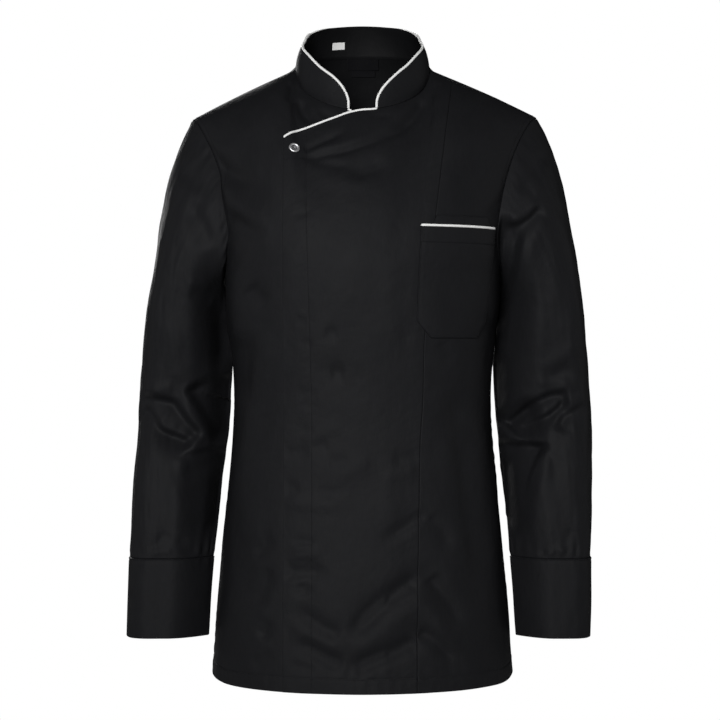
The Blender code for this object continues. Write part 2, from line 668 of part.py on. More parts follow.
def ring_of(rows, side, turn, z):
    """Level sleeve ring: 0 degrees nearest the body, 90 at the front."""
    inner, outer, middle, depth = spline(rows, z)
    x = (inner + outer) / 2 - (outer - inner) / 2 * np.cos(turn)
    y = middle - depth * np.sin(turn)
    return np.stack(np.broadcast_arrays(side * x, y, z), -1)


def grid_normals(points, inside):
    """Unit normals of a closed ring grid, pointing away from each ring's middle."""
    across = np.roll(points, -1, axis=1) - np.roll(points, 1, axis=1)
    along = np.gradient(points, axis=0)
    normal = unit(np.cross(across, along))
    away = points - inside
    flip = np.sign(np.sum(normal * away, axis=-1, keepdims=True).mean(axis=1, keepdims=True))
    return normal * flip


def sleeve(side):
    """One sleeve: a cap from the armhole to level rings, then rings to the wrist."""
    rows = LEFT_SLEEVE if side > 0 else RIGHT_SLEEVE
    front = LEFT_SLEEVE_FRONT if side > 0 else RIGHT_SLEEVE_FRONT
    edge, normal, beyond = armhole(side)
    closed = np.vstack([edge, edge[:1]])
    steps = np.linalg.norm(np.diff(closed, axis=0), axis=1)
    share = np.concatenate([[0], np.cumsum(steps)[:-1]]) / steps.sum()
    turn = 2 * math.pi * share
    way = np.stack(spline(SLEEVE_START, share), -1)
    way = unit(way) * [side, 1, 1]
    start, first_normal = next_wall(edge, normal, beyond, way)

    top = ring_of(rows, side, turn, np.full(turn.shape, float(SLEEVE_TOP_Z)))
    fall = top - ring_of(rows, side, turn, np.full(turn.shape, SLEEVE_TOP_Z + 1.0))
    span = np.linalg.norm(top - start, axis=-1, keepdims=True)
    t = np.linspace(0, 1, CAP_STOPS + 1)[:-1, None, None]
    cap = hermite(start, way * span, top, fall * span, t)
    stops = np.concatenate([np.arange(SLEEVE_TOP_Z, ELBOW[0], -RING_STEPS[0]),
                            np.arange(*ELBOW, -RING_STEPS[1]),
                            np.linspace(ELBOW[1], SLEEVE_END_Z, FOREARM_STOPS)])
    rings = ring_of(rows, side, turn[None, :], stops[:, None])
    outer = np.concatenate([cap, rings])
    middle = outer.mean(axis=1, keepdims=True)
    normals = grid_normals(outer, middle)
    x, z = np.abs(outer[..., 0]), outer[..., 2]
    seen = ramp(*FACING, np.sin(turn))[None, :]
    hidden = ramp(*FACING, -np.sin(turn))[None, :]
    height = seen * fold_height(front, x, z) + hidden * fold_height(SLEEVE_BACK, x, z)
    height[0] = 0
    outer = outer + normals * height[..., None]
    normals = grid_normals(outer, middle)
    normals[0] = first_normal
    name = "sleeve_left" if side > 0 else "sleeve_right"
    wall(name, "twill", outer, outer - CLOTH * normals, ring=True)
    return turn


def cuff(side, turn):
    """One cuff: a plain band below the sleeve's end."""
    rows = LEFT_CUFF if side > 0 else RIGHT_CUFF
    stops = np.linspace(SLEEVE_END_Z - GAP, rows[0][0], CUFF_STOPS)
    outer = ring_of(rows, side, turn[None, :], stops[:, None])
    normals = grid_normals(outer, outer.mean(axis=1, keepdims=True))
    normals[..., 2] = 0
    inner = outer - FOLDED * unit(normals)
    wall("cuff_left" if side > 0 else "cuff_right", "twill", outer, inner, ring=True)


# ---- collar and piping
def collar_side(side):
    """Base and top points of half the collar, front end to back middle, and its height share."""
    angles = np.array(COLLAR_ANGLES)
    front = angles <= 90
    base, normal = [], []
    for face, chosen in ((-1, angles[front]), (1, angles[~front])):
        turn = chosen if face < 0 else 180 - chosen
        around = side * NECK_SHARE * turn / 90
        surface = overlap if face < 0 and side > 0 else torso
        base.append(surface(face, around, 2.0))
        normal.append(outward(surface, face, around, 2.0))
    base, normal = np.concatenate(base), np.concatenate(normal)
    along = unit(np.gradient(base, axis=0))
    normal = unit(normal - dot(normal, along) * along)
    beyond = -side * np.cross(along, normal)
    x, y, z = spline(COLLAR_TOP, angles)
    top = np.stack([side * x, y, z], -1)
    start, _ = next_wall(base, normal, beyond, unit(top - base), COLLAR_GAP)
    corner = COLLAR_CORNER[side]
    short = np.clip((corner - angles) / (corner - COLLAR_END + COLLAR_STUB), 0, 1)
    share = (1 - short**CORNER_POWER)**(1 / CORNER_POWER)
    return start, top, share


def collar_grid():
    """Outer and inner points of the collar, wearer's right front end to left front end."""
    halves = [collar_side(-1), collar_side(1)]
    start = np.concatenate([halves[0][0], halves[1][0][-2::-1]])
    top = np.concatenate([halves[0][1], halves[1][1][-2::-1]])
    share = np.concatenate([halves[0][2], halves[1][2][-2::-1]])
    level = np.linspace(0, 1, COLLAR_ROWS + 1)[:, None] * share[None, :]
    outer = start + level[..., None] * (top - start)
    across = np.gradient(start + (top - start) * 0.5, axis=0)
    normal = unit(np.cross(across, top - start))
    out = np.sign(dot(normal, start - start.mean(axis=0)))
    normal = normal * out
    outer = outer + (4 * level * (1 - level) * COLLAR_BOW)[..., None] * normal
    return outer, outer - FOLDED * normal, normal


def finer(points, parts):
    """Points with each straight step between them cut into equal parts."""
    at = np.arange(len(points))
    fine = np.linspace(0, len(points) - 1, (len(points) - 1) * parts + 1)
    return np.stack([np.interp(fine, at, points[:, axis]) for axis in range(3)], -1)


def collar():
    """The stand collar and the bead round its edge."""
    outer, inner, _ = collar_grid()
    wall("collar", "twill", outer, inner)
    # The rim that carries the bead runs up one front end, round the top and down the other
    rim_outer = np.concatenate([outer[1:-1, 0], outer[-1], outer[-2:0:-1, -1]])
    rim_inner = np.concatenate([inner[1:-1, 0], inner[-1], inner[-2:0:-1, -1]])
    last = len(outer) - 2
    below = np.concatenate([np.repeat(outer[1:2, 2], last, axis=0), outer[0],
                            np.repeat(outer[1:2, -3], last, axis=0)])
    rim_outer, rim_inner, below = (finer(points, 4) for points in (rim_outer, rim_inner, below))
    outwards = unit(rim_outer - rim_inner)
    middle = (rim_outer + rim_inner) / 2
    beyond = unit(np.cross(unit(np.gradient(middle, axis=0)), outwards))
    beyond = beyond * np.sign(dot(beyond, middle - below))
    # Behind the neck the bead lies on the outer side, just under the top edge
    behind = ramp(*BEAD_CROSSES, middle[:, 1])[:, None]
    clear = PIPING_RADIUS + 2 * GAP
    over = FOLDED / 2 * np.minimum(2 * behind, 1) + clear * np.sin(behind * math.pi / 2)
    drop = BEAD_DROP * ramp(0.7, 1, behind)
    over = over + drop * BEAD_LEAN
    above = clear * np.cos(behind * math.pi / 2) - drop
    path = middle + beyond * above + outwards * over
    tube("piping_collar", "piping", evened(path, BEAD_SPACING), PIPING_RADIUS)


# ---- pocket, snap and labels
def pocket():
    """The patch pocket, the pen slot behind its mouth and the bead on its edge."""
    rows = np.array(POCKET, float)
    at = np.array(POCKET_ROWS)
    index = np.arange(len(rows))
    z = np.interp(at, index, rows[:, 0])[:, None]
    left = np.interp(at, index, rows[:, 1])[:, None]
    right = np.interp(at, index, rows[:, 2])[:, None]
    share = np.linspace(0, 1, POCKET_COLUMNS + 1)[None, :]
    around, up = place(-1, left + (right - left) * share, z + 0 * share)
    skin = overlap(-1, around, up)
    normal = outward(overlap, -1, around, up)
    stand = POCKET_REST + (POCKET_MOUTH - POCKET_REST) * ramp(*POCKET_OPENS, z + 0 * share)
    inner = skin + normal * stand[..., None]
    outer = inner + normal * CLOTH
    wall("pocket_chest", "twill", outer, inner)

    middle = (outer[-1] + inner[-1]) / 2
    along = unit(np.gradient(middle, axis=0))
    beyond = unit(np.cross(along, normal[-1]))
    beyond = beyond * np.sign(beyond[:, 2:3])
    path = middle + (PIPING_RADIUS + GAP) * beyond
    tube("piping_pocket", "piping", evened(path, POCKET_BEAD_SPACING), PIPING_RADIUS)

    slot = np.array(PEN_SLOT, float)
    x = slot[:, 1:2] + (slot[:, 2:3] - slot[:, 1:2]) * np.linspace(0, 1, 7)[None, :]
    around, up = place(-1, x, slot[:, 0:1] + 0 * x)
    skin = overlap(-1, around, up)
    normal = outward(overlap, -1, around, up)
    inner = skin + normal * POCKET_REST
    wall("pocket_pen_slot", "twill", inner + normal * PEN_SLOT_WALL, inner)


def snap():
    """The ring snap that fastens the slanted corner: a ring and its sunk centre."""
    around, up = place(-1, *SNAP_PLACE)
    seat = overlap(-1, around, up)
    normal = outward(overlap, -1, around, up)
    turn = Vector(normal.tolist()).to_track_quat("Z", "Y").to_euler()
    ring_at = (seat + normal * (SNAP_WIRE + 2 * GAP)) * MM
    bpy.ops.mesh.primitive_torus_add(major_radius=SNAP_RING * MM, minor_radius=SNAP_WIRE * MM,
                                     major_segments=24, minor_segments=8,
                                     location=ring_at.tolist(), rotation=turn)
    keep(bpy.context.object, "snap_ring", "snap_metal")
    radius, thickness = SNAP_DISC
    disc_at = (seat + normal * (thickness / 2 + 1.5 * GAP)) * MM
    bpy.ops.mesh.primitive_cylinder_add(vertices=24, radius=radius * MM, depth=thickness * MM,
                                        location=disc_at.tolist(), rotation=turn)
    keep(bpy.context.object, "snap_centre", "snap_centre")


def back_label(name, box, columns):
    """A label inside the back of the neck, hanging against the back."""
    left, right, bottom, top = box
    x = np.linspace(left, right, columns + 1)[None, :]
    z = np.linspace(bottom, top, 3)[:, None]
    around, up = place(1, x + 0 * z, z + 0 * x)
    inside = torso(1, around, up) - outward(torso, 1, around, up) * (CLOTH + LABEL_CLEAR)
    normal = outward(torso, 1, around, up)
    wall(name, "label_black", inside, inside - normal * LABEL_WALL)


def collar_label():
    """The small white label on the collar's inner side."""
    first, last, low, high = WHITE_LABEL
    _, inner, normal = collar_grid()
    angles = np.concatenate([-np.array(COLLAR_ANGLES), np.array(COLLAR_ANGLES)[-2::-1]])
    order = np.arange(len(angles))
    at = np.interp(np.linspace(first, last, 4), angles[:len(COLLAR_ANGLES)][::-1],
                   order[:len(COLLAR_ANGLES)][::-1])
    column = np.floor(at).astype(int)
    part = (at - column)[:, None]
    rows = []
    for level in (low, (low + high) / 2, high):
        row = level * COLLAR_ROWS
        below = int(row)
        near = inner[below] + (inner[below + 1] - inner[below]) * (row - below)
        rows.append(near[column] * (1 - part) + near[column + 1] * part)
    inside = np.array(rows)
    normals = unit(normal[column] * (1 - part) + normal[column + 1] * part)[None]
    inside = inside - normals * WHITE_CLEAR
    wall("label_white", "label_white", inside, inside - normals * LABEL_WALL)


def main():
    """Build the jacket in an empty scene."""
    for old in list(bpy.data.objects):
        bpy.data.objects.remove(old, do_unlink=True)
    made = bpy.data.collections.new(COLLECTION)
    bpy.context.scene.collection.children.link(made)
    fronts()
    back()
    for side in (1, -1):
        turn = sleeve(side)
        cuff(side, turn)
    collar()
    pocket()
    snap()
    back_label("label_neck", NECK_LABEL, 4)
    back_label("label_size", SIZE_LABEL, 4)
    collar_label()


main()
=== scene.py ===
"""Looks of a black chef jacket in its worn shape: twill shells, sewing, piping, snap and studio.

Sizes are millimetres until a mesh is made. +X is the wearer's left, -Y the front and +Z up. The
form repeats the model's own surfaces, and the creases, seams and stitches are laid on them.
"""

import bpy
import math
import numpy as np
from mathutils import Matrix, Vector


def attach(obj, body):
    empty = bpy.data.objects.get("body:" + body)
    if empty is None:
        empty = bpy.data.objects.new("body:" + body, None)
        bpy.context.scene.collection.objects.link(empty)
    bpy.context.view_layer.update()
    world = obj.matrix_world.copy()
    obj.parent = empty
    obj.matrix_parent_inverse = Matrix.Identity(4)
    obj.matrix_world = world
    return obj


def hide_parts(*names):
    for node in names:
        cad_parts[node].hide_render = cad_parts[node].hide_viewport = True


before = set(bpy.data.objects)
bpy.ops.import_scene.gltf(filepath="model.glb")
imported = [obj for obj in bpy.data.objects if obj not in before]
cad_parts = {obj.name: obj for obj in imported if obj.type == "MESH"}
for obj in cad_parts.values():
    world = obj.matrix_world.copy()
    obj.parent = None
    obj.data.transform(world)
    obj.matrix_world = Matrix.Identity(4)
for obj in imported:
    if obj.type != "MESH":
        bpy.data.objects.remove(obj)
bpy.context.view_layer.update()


def table(text):
    """Rows of numbers, parted by semicolons or line ends."""
    rows = text.replace("\n", ";").split(";")
    return [tuple(map(float, row.split())) for row in rows if row.strip()]


MM = 0.001
CLOTH = 1.5  # body and sleeves
FOLDED = 2.4  # collar and cuffs, two plies and an interlining
PIPING_RADIUS = 1.6
STEP = 0.002  # share by which a surface is sampled for its slopes

# Torso, hem to underarm: height, half width, depth to the front, depth to the back
TORSO = table("""
-775 189.2 131 121; -725 185.2 130 118; -688 183.2 129 116; -650 180 127 113
-612 176.4 125 110; -575 173 123 106; -537 169.2 121 102; -500 165.6 120 98; -462 162.4 120 95
-425 160.4 121 94; -390 160.9 124 96; -364 162.5 127 100; -320 166.8 132 109
-290 169.5 135 115; -255 171.8 137 121
""")
CHEST_Z = -255  # the torso ring at the underarm
FULLNESS = 0.25  # how much squarer than an ellipse a torso ring is
# Hem: share of the way from the middle to the side seam, height
HEM = table("""
-.57 -757; 0 -760; .57 -757; .75 -755.5; .88 -752; 1 -747.5
""")
# Neckline, where the collar is sewn on: degrees from the front middle, x, y, z
NECKLINE = table("""
-13 -19 -60 -56.5; 0 0 -62 -58; 13 19 -60 -56.5; 38 52 -49 -46; 65 76 -27 -27; 90 84 0 0
120 73 31 16; 150 42 54 24; 180 0 62 26; 210 -42 54 24
""")
NECK_SHARE = 0.31  # share of the way round a side that lies under the neckline
SHOULDER_SHARE = 0.86  # share at which the shoulder seam meets the sleeve
SHOULDER_NECK = (84, 0, 0)
SHOULDER_END = {-1: (214, 10, -62), 1: (219, 10, -59)}
SHOULDER_BOW = 2.0  # how far the seam's middle rises over a straight line
SHOULDER_BEYOND = (70, 0, -290)  # the way the surface goes on past the shoulder, for each share
# How the cloth runs up to the neckline and the seam: share of the way round, out, inwards, up
FRONT_RUN_UP = table("""
-.155 .42 .5 .7; 0 0 .62 .79; .155 -.42 .5 .7; .31 -.1 .68 .36
.42 -.05 .78 .2; .6 0 .84 .08; .86 0 .66 0; 1 0 .6 0
""")
BACK_RUN_UP = table("""
-.155 .3 .52 .66; 0 0 .47 .88; .155 -.3 .52 .66; .31 -.24 .74 -.04
.42 -.08 .82 0; .6 0 .86 .02; .86 0 .7 0; 1 0 .6 0
""")
CORNER_REACH = 0.24  # share over which the corner at the neck is rounded, lower down
CORNER_LEVELS = 40
CORNER_SPAN = 1.3  # shares to which the edge's table goes on, past the sides
CORNER_PLACES = 1301
# Armholes: share of the way from the underarm to the shoulder, share of the way round the side
FRONT_ARMHOLE = table("""
0 1; .015 .935; .045 .87; .09 .815; .15 .775; .25 .752; .38 .755; .55 .782
.75 .822; 1 .86
""")
BACK_ARMHOLE = table("""
0 1; .015 .93; .045 .86; .09 .805; .15 .77; .25 .755; .38 .765; .55 .79
.75 .825; 1 .86
""")

# Front closing and seams, as the front shows them: height, x
OVERLAP_EDGE = ((-775, -95.5), (-90, -95.5))
UNDERLAP_EDGE = ((-775, 22), (-60, 22))
PRINCESS_SEAM = table("""
-775 65; -708 65; -570 67; -457 69; -410 72.5; -347 73.4; -270 79; -187 87.6; -147 92.6
-83 101; -10 112
""")
PLACKET_SEAM = table("""
-775 -61.5; -410 -61.5; -190 -67.5; -120 -68.8; -60 -69
""")
# Slanted top edges: x, height
OVERLAP_TOP = table("""
-97 -98; -93 -92; -86 -88; -70 -82.5; -45 -72.5; -20 -63.2; -9 -59.8; 5 -57.3; 19 -56.5; 21 60
200 60
""")
UNDERLAP_TOP = table("""
-200 60; -21 60; -19 -56.5; -9 -60; 5 -64.5; 30 -73
""")
OVERLAP_BEAD = (-95.4, 18.2)  # x between which the slanted edges carry piping
UNDERLAP_BEAD = (-18.4, -13)
LIFT_FADE = (26, 56)  # x between which the overlap comes down to the body
COVER_START = (-120, -99)  # x between which the right front goes smooth, to lie under it
UNDER_IN = (0, 16)  # how far in from the overlap's edge the covered front sinks
UNDER_DOWN = (1, 18)  # and how far under its slanted edge
UNDER_DEPTH = 4.2  # how deep it sinks
UNDER_CLEAR = 0.2  # and how much more, to stay clear of the overlap's deepest folds
SEEN_LIFT = 1.3  # how far the overlap stands out over it
FALLEN_AWAY = 30  # depth past which the overlap's limit on folds no longer counts
COVERED_OVER = (-4, 10)  # how far under the slanted edge the covered front goes smooth

# In these tables 1 is the wearer's left side and -1 the right one
# Sleeves and cuffs, wrist up: height, inner x, outer x, middle y, half depth
SLEEVE = {1: table("""
-607 184.5 283.5 -8 42; -575 182.5 284.5 -4 45; -537 179 286 2 48; -500 175.5 287.2 9 51
-462 171.5 287.6 16 54; -425 168 287 22 57; -388 165.7 285 25 60; -364 164.3 283.5 24 63
-345 165.2 281.5 22 65; -320 166.9 279.5 20 67; -290 169.4 276 18 69; -262 172 271 16 70
"""), -1: table("""
-607 185.5 289.5 -8 42; -575 182.2 288.7 -4 45; -537 179 287 2 48; -500 175.2 285.5 9 51
-462 170 282.5 16 54; -425 167 281.5 22 57; -388 166 279 25 60; -364 164.4 276.5 24 63
-345 165.2 275 22 65; -320 166.9 272.5 20 67; -290 169.4 268.5 18 69; -262 172 263 16 70
""")}
CUFF = {1: table("""
-704 190 283.5 -14 39.5; -655 187.3 284.4 -11 41.5; -607 183.6 284.6 -8 43.2
"""), -1: table("""
-704 191 293 -14 39.5; -655 188.2 291.8 -11 41.5; -607 184.6 290.6 -8 43.2
""")}
SLEEVE_TOP_Z = -290  # below this the sleeve is a stack of level rings
SLEEVE_END_Z = -606.5
SLEEVE_FULL = (0.6, -0.55)  # how much squarer than an ellipse a ring's front is, outside and in
SLEEVE_COLUMNS = 168
SLEEVE_ROUND = 420.0
# The way a sleeve leaves the armhole: share round the hole from the underarm up the front, x, y, z
SLEEVE_START = table("""
0 .16 0 -.99; .12 .32 -.22 -.92; .28 .6 -.32 -.73; .4 .58 -.16 -.8
.5 .5 0 -.87; .6 .58 .16 -.8; .72 .6 .32 -.73; .88 .32 .24 -.92; 1 .16 0 -.99
""")

# Collar, top edge: degrees from the front middle, x, y, z
COLLAR_TOP = table("""
-28 -36 -60 -17; 0 0 -66 -25; 28 36 -60 -17; 43 52 -53 -6; 61 66.5 -41 10; 90 76 -18 26
108 72.5 2 36; 118 67 15 45; 135 54 32 55; 158 29 47 61; 180 0 52 63; 202 -29 47 61
""")
COLLAR_END = 13.0  # degrees at which the collar's front end stands
COLLAR_STUB = 0.7  # degrees of rounding left out, so that the end has some height
COLLAR_CORNER = {-1: 36, 1: 41}  # degrees at which each rounded front corner is full height
CORNER_POWER = 2.2
COLLAR_BOW = 1.5  # how far the collar swells between its edges
BEAD_SIDES = 14
BEAD_SPACING = 1.6
BEAD_SUNK = 0.1  # how far a bead is sunk in its edge
BEAD_CROSSES = (-6, 26)  # y between which the bead crosses from the top to the outer side
BEAD_DROP = 2.2  # how far under the top edge it then lies
BEAD_LEAN = 0.4  # how far out the collar's side goes for each step down

# Chest pocket and pen slot, as the front shows them: height, left x, right x
POCKET = table("""
-336 81 137; -316 64.2 147.5; -280 65.2 150.5; -240 66.8 154; -204.4 68.5 157.2
""")
PEN_SLOT = table("""
-224 84 153; -199 84 153; -189.5 88 150
""")
POCKET_BAND = 19.2  # height of the band at the mouth
POCKET_GRID = 2.4  # spacing of the pocket's points
POCKET_REST = 0.9  # how far the pocket lies off the body
POCKET_MOUTH = 3.8  # and at its mouth
POCKET_OPENS = (-264, -217)  # heights between which it comes to stand off
POCKET_FOLLOWS = 0.5  # share of the front's creases that it follows
POCKET_SUNK = 0.5  # how far the patches' inner sides lie nearer the body
PEN_DIVIDE = 121.5  # x of the stitches that part the pen slot
PEN_SLOT_WALL = 1.2
PEN_GRID = 1.6

SNAP_PLACE = (-83, -108)  # x, z on the overlap
SNAP_RING = 5.3  # radius of the ring's middle line
SNAP_WIRE = (1.35, 1.15)  # half width and half height of the ring's section
SNAP_HIGH = 1.55  # how far the section's middle stands off the cloth
# The sunk centre: radius, height over the cloth
SNAP_CENTRE = table("""
.02 .75; .9 .78; 1.3 1.05; 2.2 1.3; 3.2 1.38; 4.0 1.2; 4.3 .5; 4.3 .25; .02 .25
""")

LABEL_WALL = 0.7
LABEL_LIFT = 0.9  # between a neck label and the cloth it hangs on
WHITE_LIFT = 0.35  # and for the label on the collar
NECK_LABEL = (-20, 21, 9.8, 23.4)  # left, right, bottom, top on the back's inner side
SIZE_LABEL = (-14, 16.5, 1.8, 9.2)
WHITE_LABEL = (-163.5, -151.5, 0.24, 0.48)  # degrees round the collar, shares of its height

SIDE_CALM = (0.86, 0.98)  # shares of the way round over which folds die out at a side seam
SHOULDER_CALM = (1.86, 1.99)  # and up over which they die out at the shoulder seam
AWAY = (0.0, 0.4)  # share of a ring's depth over which the back's folds set in
FACING = (-0.5, 0.15)  # and the front's
# Folds that the worn shape has: x, z at one end, x, z at the other, half width, height. On the
# sleeves, here and below, x is without its sign
SOFT = 0.6  # share of the torso's broad folds under the finer creases
FRONT_FOLDS = table("""
-192 -108 -169 -131 15 -3; -169 -131 -128 -153 16 -3; -186 -147 -149 -176 15 2.6
-149 -176 -112 -208 16 2.6; -163 -205 -128 -203 14 -2.2; -20 -112 52 -88 15 -2
-72 -122 -10 -100 15 1.6; 77 -45 55 -76 12 -2; 70 -620 4 -682 17 -2.6
70 -620 106 -660 16 -2.4; 67 -655 -2 -706 16 2.2; 67 -655 110 -694 15 2
67 -692 -8 -728 16 -2.4; 67 -692 112 -724 15 -2.2; -108 -570 -134 -596 14 -2.2
-108 -616 -136 -652 15 -2.4; -90 -700 -36 -723 14 -2; 100 -395 150 -440 18 -2.2
-100 -400 -148 -452 18 -2.4; -40 -380 30 -405 20 -1.8
""")
BACK_FOLDS = table("""
-60 -395 70 -388 17 -3; -95 -432 20 -420 17 2.6; 10 -450 112 -462 17 -2.8
-120 -120 -90 -215 16 -2.6; 118 -118 92 -205 16 -2.8; -60 -500 -92 -640 20 2.4
55 -520 70 -670 22 2.6; -10 -560 5 -720 20 -2.2; -40 -48 44 -52 14 -1.8
-148 -170 -120 -235 14 2.2; 150 -165 124 -238 14 2.4
""")
SLEEVE_SOFT = 0.25  # share of the sleeves' broad folds that is kept
SLEEVE_FRONT = {1: table("""
250 -382 226 -404 12 -4.5; 226 -404 186 -432 12 -4.2; 252 -400 182 -448 11 3.6
258 -404 232 -432 11 -3.6; 232 -432 200 -440 11 -3.4; 254 -412 228 -456 11 3.2
228 -456 224 -492 12 2.6; 272 -412 238 -440 11 -2.8; 184 -460 226 -464 13 -4
222 -112 196 -160 12 -3.2; 222 -182 184 -210 13 -3.8; 236 -140 214 -196 13 2.4
228 -470 208 -560 15 2.2; 258 -560 240 -596 12 -2
"""), -1: table("""
270 -408 228 -410 12 -4.2; 228 -410 194 -458 12 -4.4; 262 -414 216 -434 12 3.6
216 -434 190 -462 11 3.4; 266 -424 242 -452 12 -3.8; 242 -452 200 -468 12 -3.6
250 -470 214 -484 14 2.4; 232 -486 194 -482 13 -3; 218 -132 196 -156 12 -3
218 -174 194 -230 13 -3.4; 232 -160 222 -270 14 2.6; 236 -380 224 -330 14 2
222 -570 250 -596 12 -2
""")}
SLEEVE_BACK = table("""
190 -400 262 -388 13 3.4; 196 -428 270 -420 13 -3.6; 188 -452 256 -452 13 3
200 -478 262 -486 14 -2.8; 196 -150 214 -210 13 -2.8; 226 -130 238 -220 14 2.2
""")
# Creases: height, half width, shares over which it fades in and out, then x, z along its line
CREASED = 1.15  # how much stronger the torso's creases are made
CREASE_PARTS = 6  # straight steps for each step of a crease's line
FRONT_CREASES = table("""
-4.2 5 .1 .35 -75 -120 -65 -119 -42 -115 -23 -111 1 -102 22 -93 48 -81 68 -59
1.3 5 .2 .4 -65 -109 -42 -107 -19 -102 5 -95 33 -85
-3.2 4.5 .1 .4 -72 -110 -52 -101 -29 -90 -17 -84
-3 5 .2 .3 -64 -122 -48 -126 -32 -129 -14 -133; -3.4 11 .3 .3 -21 -139 3 -134 29 -123
.8 9 .3 .3 -53 -138 -27 -150 9 -150; -1.2 5 .3 .3 -82 -190 -71 -188 -60 -187
-1.8 8 .3 .3 -45 -327 -28 -334; -1.8 9 .3 .3 -39 -377 -21 -377
-1 8 .3 .3 -82 -402 -50 -404; -.8 7 .3 .3 45 -341 56 -328
-3.2 10 .1 .4 -195 -108 -169 -131 -130 -153; 1.4 9 .2 .4 -193 -96 -174 -103 -150 -107
1.8 10 .2 .3 -185 -147 -164 -159 -141 -182 -111 -209
-2.2 9 .2 .3 -168 -188 -148 -197 -127 -214 -118 -220; -1 6 .3 .3 -160 -245 -150 -250
-4.6 13 .2 .3 -139 -274 -125 -288 -113 -300; 1.8 14 .3 .3 -115 -317 -123 -367 -129 -416
-4.2 14 .3 .3 -139 -324 -144 -368 -149 -416; -3.2 14 .3 .3 -149 -554 -147 -614 -139 -673
1.4 10 .3 .3 123 -190 152 -172 174 -146; -1.6 8 .15 .4 94 -341 102 -354 111 -367
-5.2 14 .15 .3 108 -396 120 -458 129 -530 138 -602 144 -657
1.2 12 .3 .3 100 -426 105 -494 112 -566 121 -638; 3.4 12 .3 .3 148 -214 155 -261 156 -327
3 12 .3 .3 -149 -238 -156 -286 -154 -351; -1.2 8 .3 .2 34 -483 51 -480 68 -476
1 9 .3 .2 21 -506 45 -499 65 -492; -2.6 6 .2 .3 -87 -18 -89 -32 -90 -47
-4.6 6.5 .2 .2 -78 -43 -71 -60 -62 -74; 1.2 6 .2 .3 -68 -47 -58 -61 -44 -71
-3.2 5 .3 .3 -53 -56 -39 -67 -25 -72; -1.6 6 .2 .3 89 -19 88 -42
-3.8 7 .1 .4 74 -43 57 -71 32 -81; 1 6 .2 .3 66 -40 50 -59 30 -68
-1.8 4.5 .3 .3 10 -67 26 -66 41 -67; -1.2 10 .3 .3 -120 -426 -112 -450
-1.2 8 .3 .3 -105 -473 -82 -474 -60 -473; -1.2 8 .3 .3 -63 -468 -39 -462
-1.2 8 .3 .3 -41 -488 -16 -479; 1.2 10 .3 .3 -75 -458 -48 -449 -22 -439
1.2 10 .3 .3 -33 -501 -9 -492 11 -477; -1.4 9 .3 .3 -105 -517 -73 -514
-1.2 8 .3 .3 -57 -520 -16 -520; 1.4 9 .3 .3 -99 -535 -63 -534 -21 -537
-2.6 8 .05 .4 74 -547 54 -559 34 -571 19 -579; .7 8 .1 .4 69 -561 50 -574 30 -587
-2.4 9 .05 .3 81 -551 94 -566 107 -590
-4.4 10 .1 .3 66 -622 45 -634 21 -653 -1 -675 -21 -690
1 11 .1 .3 63 -654 42 -664 21 -681 -1 -699 -21 -705
-3 9 .15 .3 -25 -690 -44 -682 -63 -670 -82 -658
-4 10 .05 .3 82 -622 95 -640 107 -659 117 -688; .7 10 .1 .3 81 -653 93 -676 102 -697
-4.2 10 .1 .3 65 -696 45 -706 21 -715 -1 -724 -20 -726
.8 9 .1 .3 62 -715 40 -724 16 -731 -8 -740
-3.8 9 .2 .3 -20 -726 -39 -719 -60 -707 -84 -699
.8 9 .2 .3 -21 -709 -44 -700 -68 -690 -87 -681
-3.8 7.5 .05 .3 69 -685 84 -695 99 -711 111 -726; .6 7 .1 .3 74 -709 88 -719 100 -731
-3.2 10 .3 .3 -105 -572 -120 -589 -135 -598; .8 9 .3 .3 -103 -589 -120 -606 -135 -618
-3.6 10 .2 .3 -105 -614 -120 -638 -132 -659; 1 10 .3 .3 -101 -635 -115 -657 -127 -676
-3.4 8 .3 .3 -106 -676 -115 -687 -125 -697; .8 8 .3 .3 -103 -694 -115 -707 -130 -721
-1.6 8 .3 .3 -108 -707 -120 -721 -135 -731; 1.6 9 .3 .3 -90 -593 -69 -593 -45 -595
-3 9 .2 .3 -108 -615 -75 -615 -39 -616; -1 5 .3 .3 -88 -581 -70 -579 -52 -580
-.8 3.5 .3 .3 -90 -591 -72 -592 -53 -591; .8 3.5 .3 .3 -88 -586 -70 -587 -53 -586
-.8 3.5 .3 .3 -87 -601 -70 -602 -51 -601; -2.2 9 .3 .3 -73 -627 -68 -645
-.8 5 .3 .3 -80 -316 -65 -317; .7 5 .3 .3 -80 -307 -65 -307
-.8 5 .3 .3 -77 -343 -59 -343; -1.4 6 .3 .3 -91 -726 -71 -728 -50 -736
-.8 5 .3 .3 -78 -416 -52 -418; -.8 5 .3 .3 -76 -447 -54 -449
""")
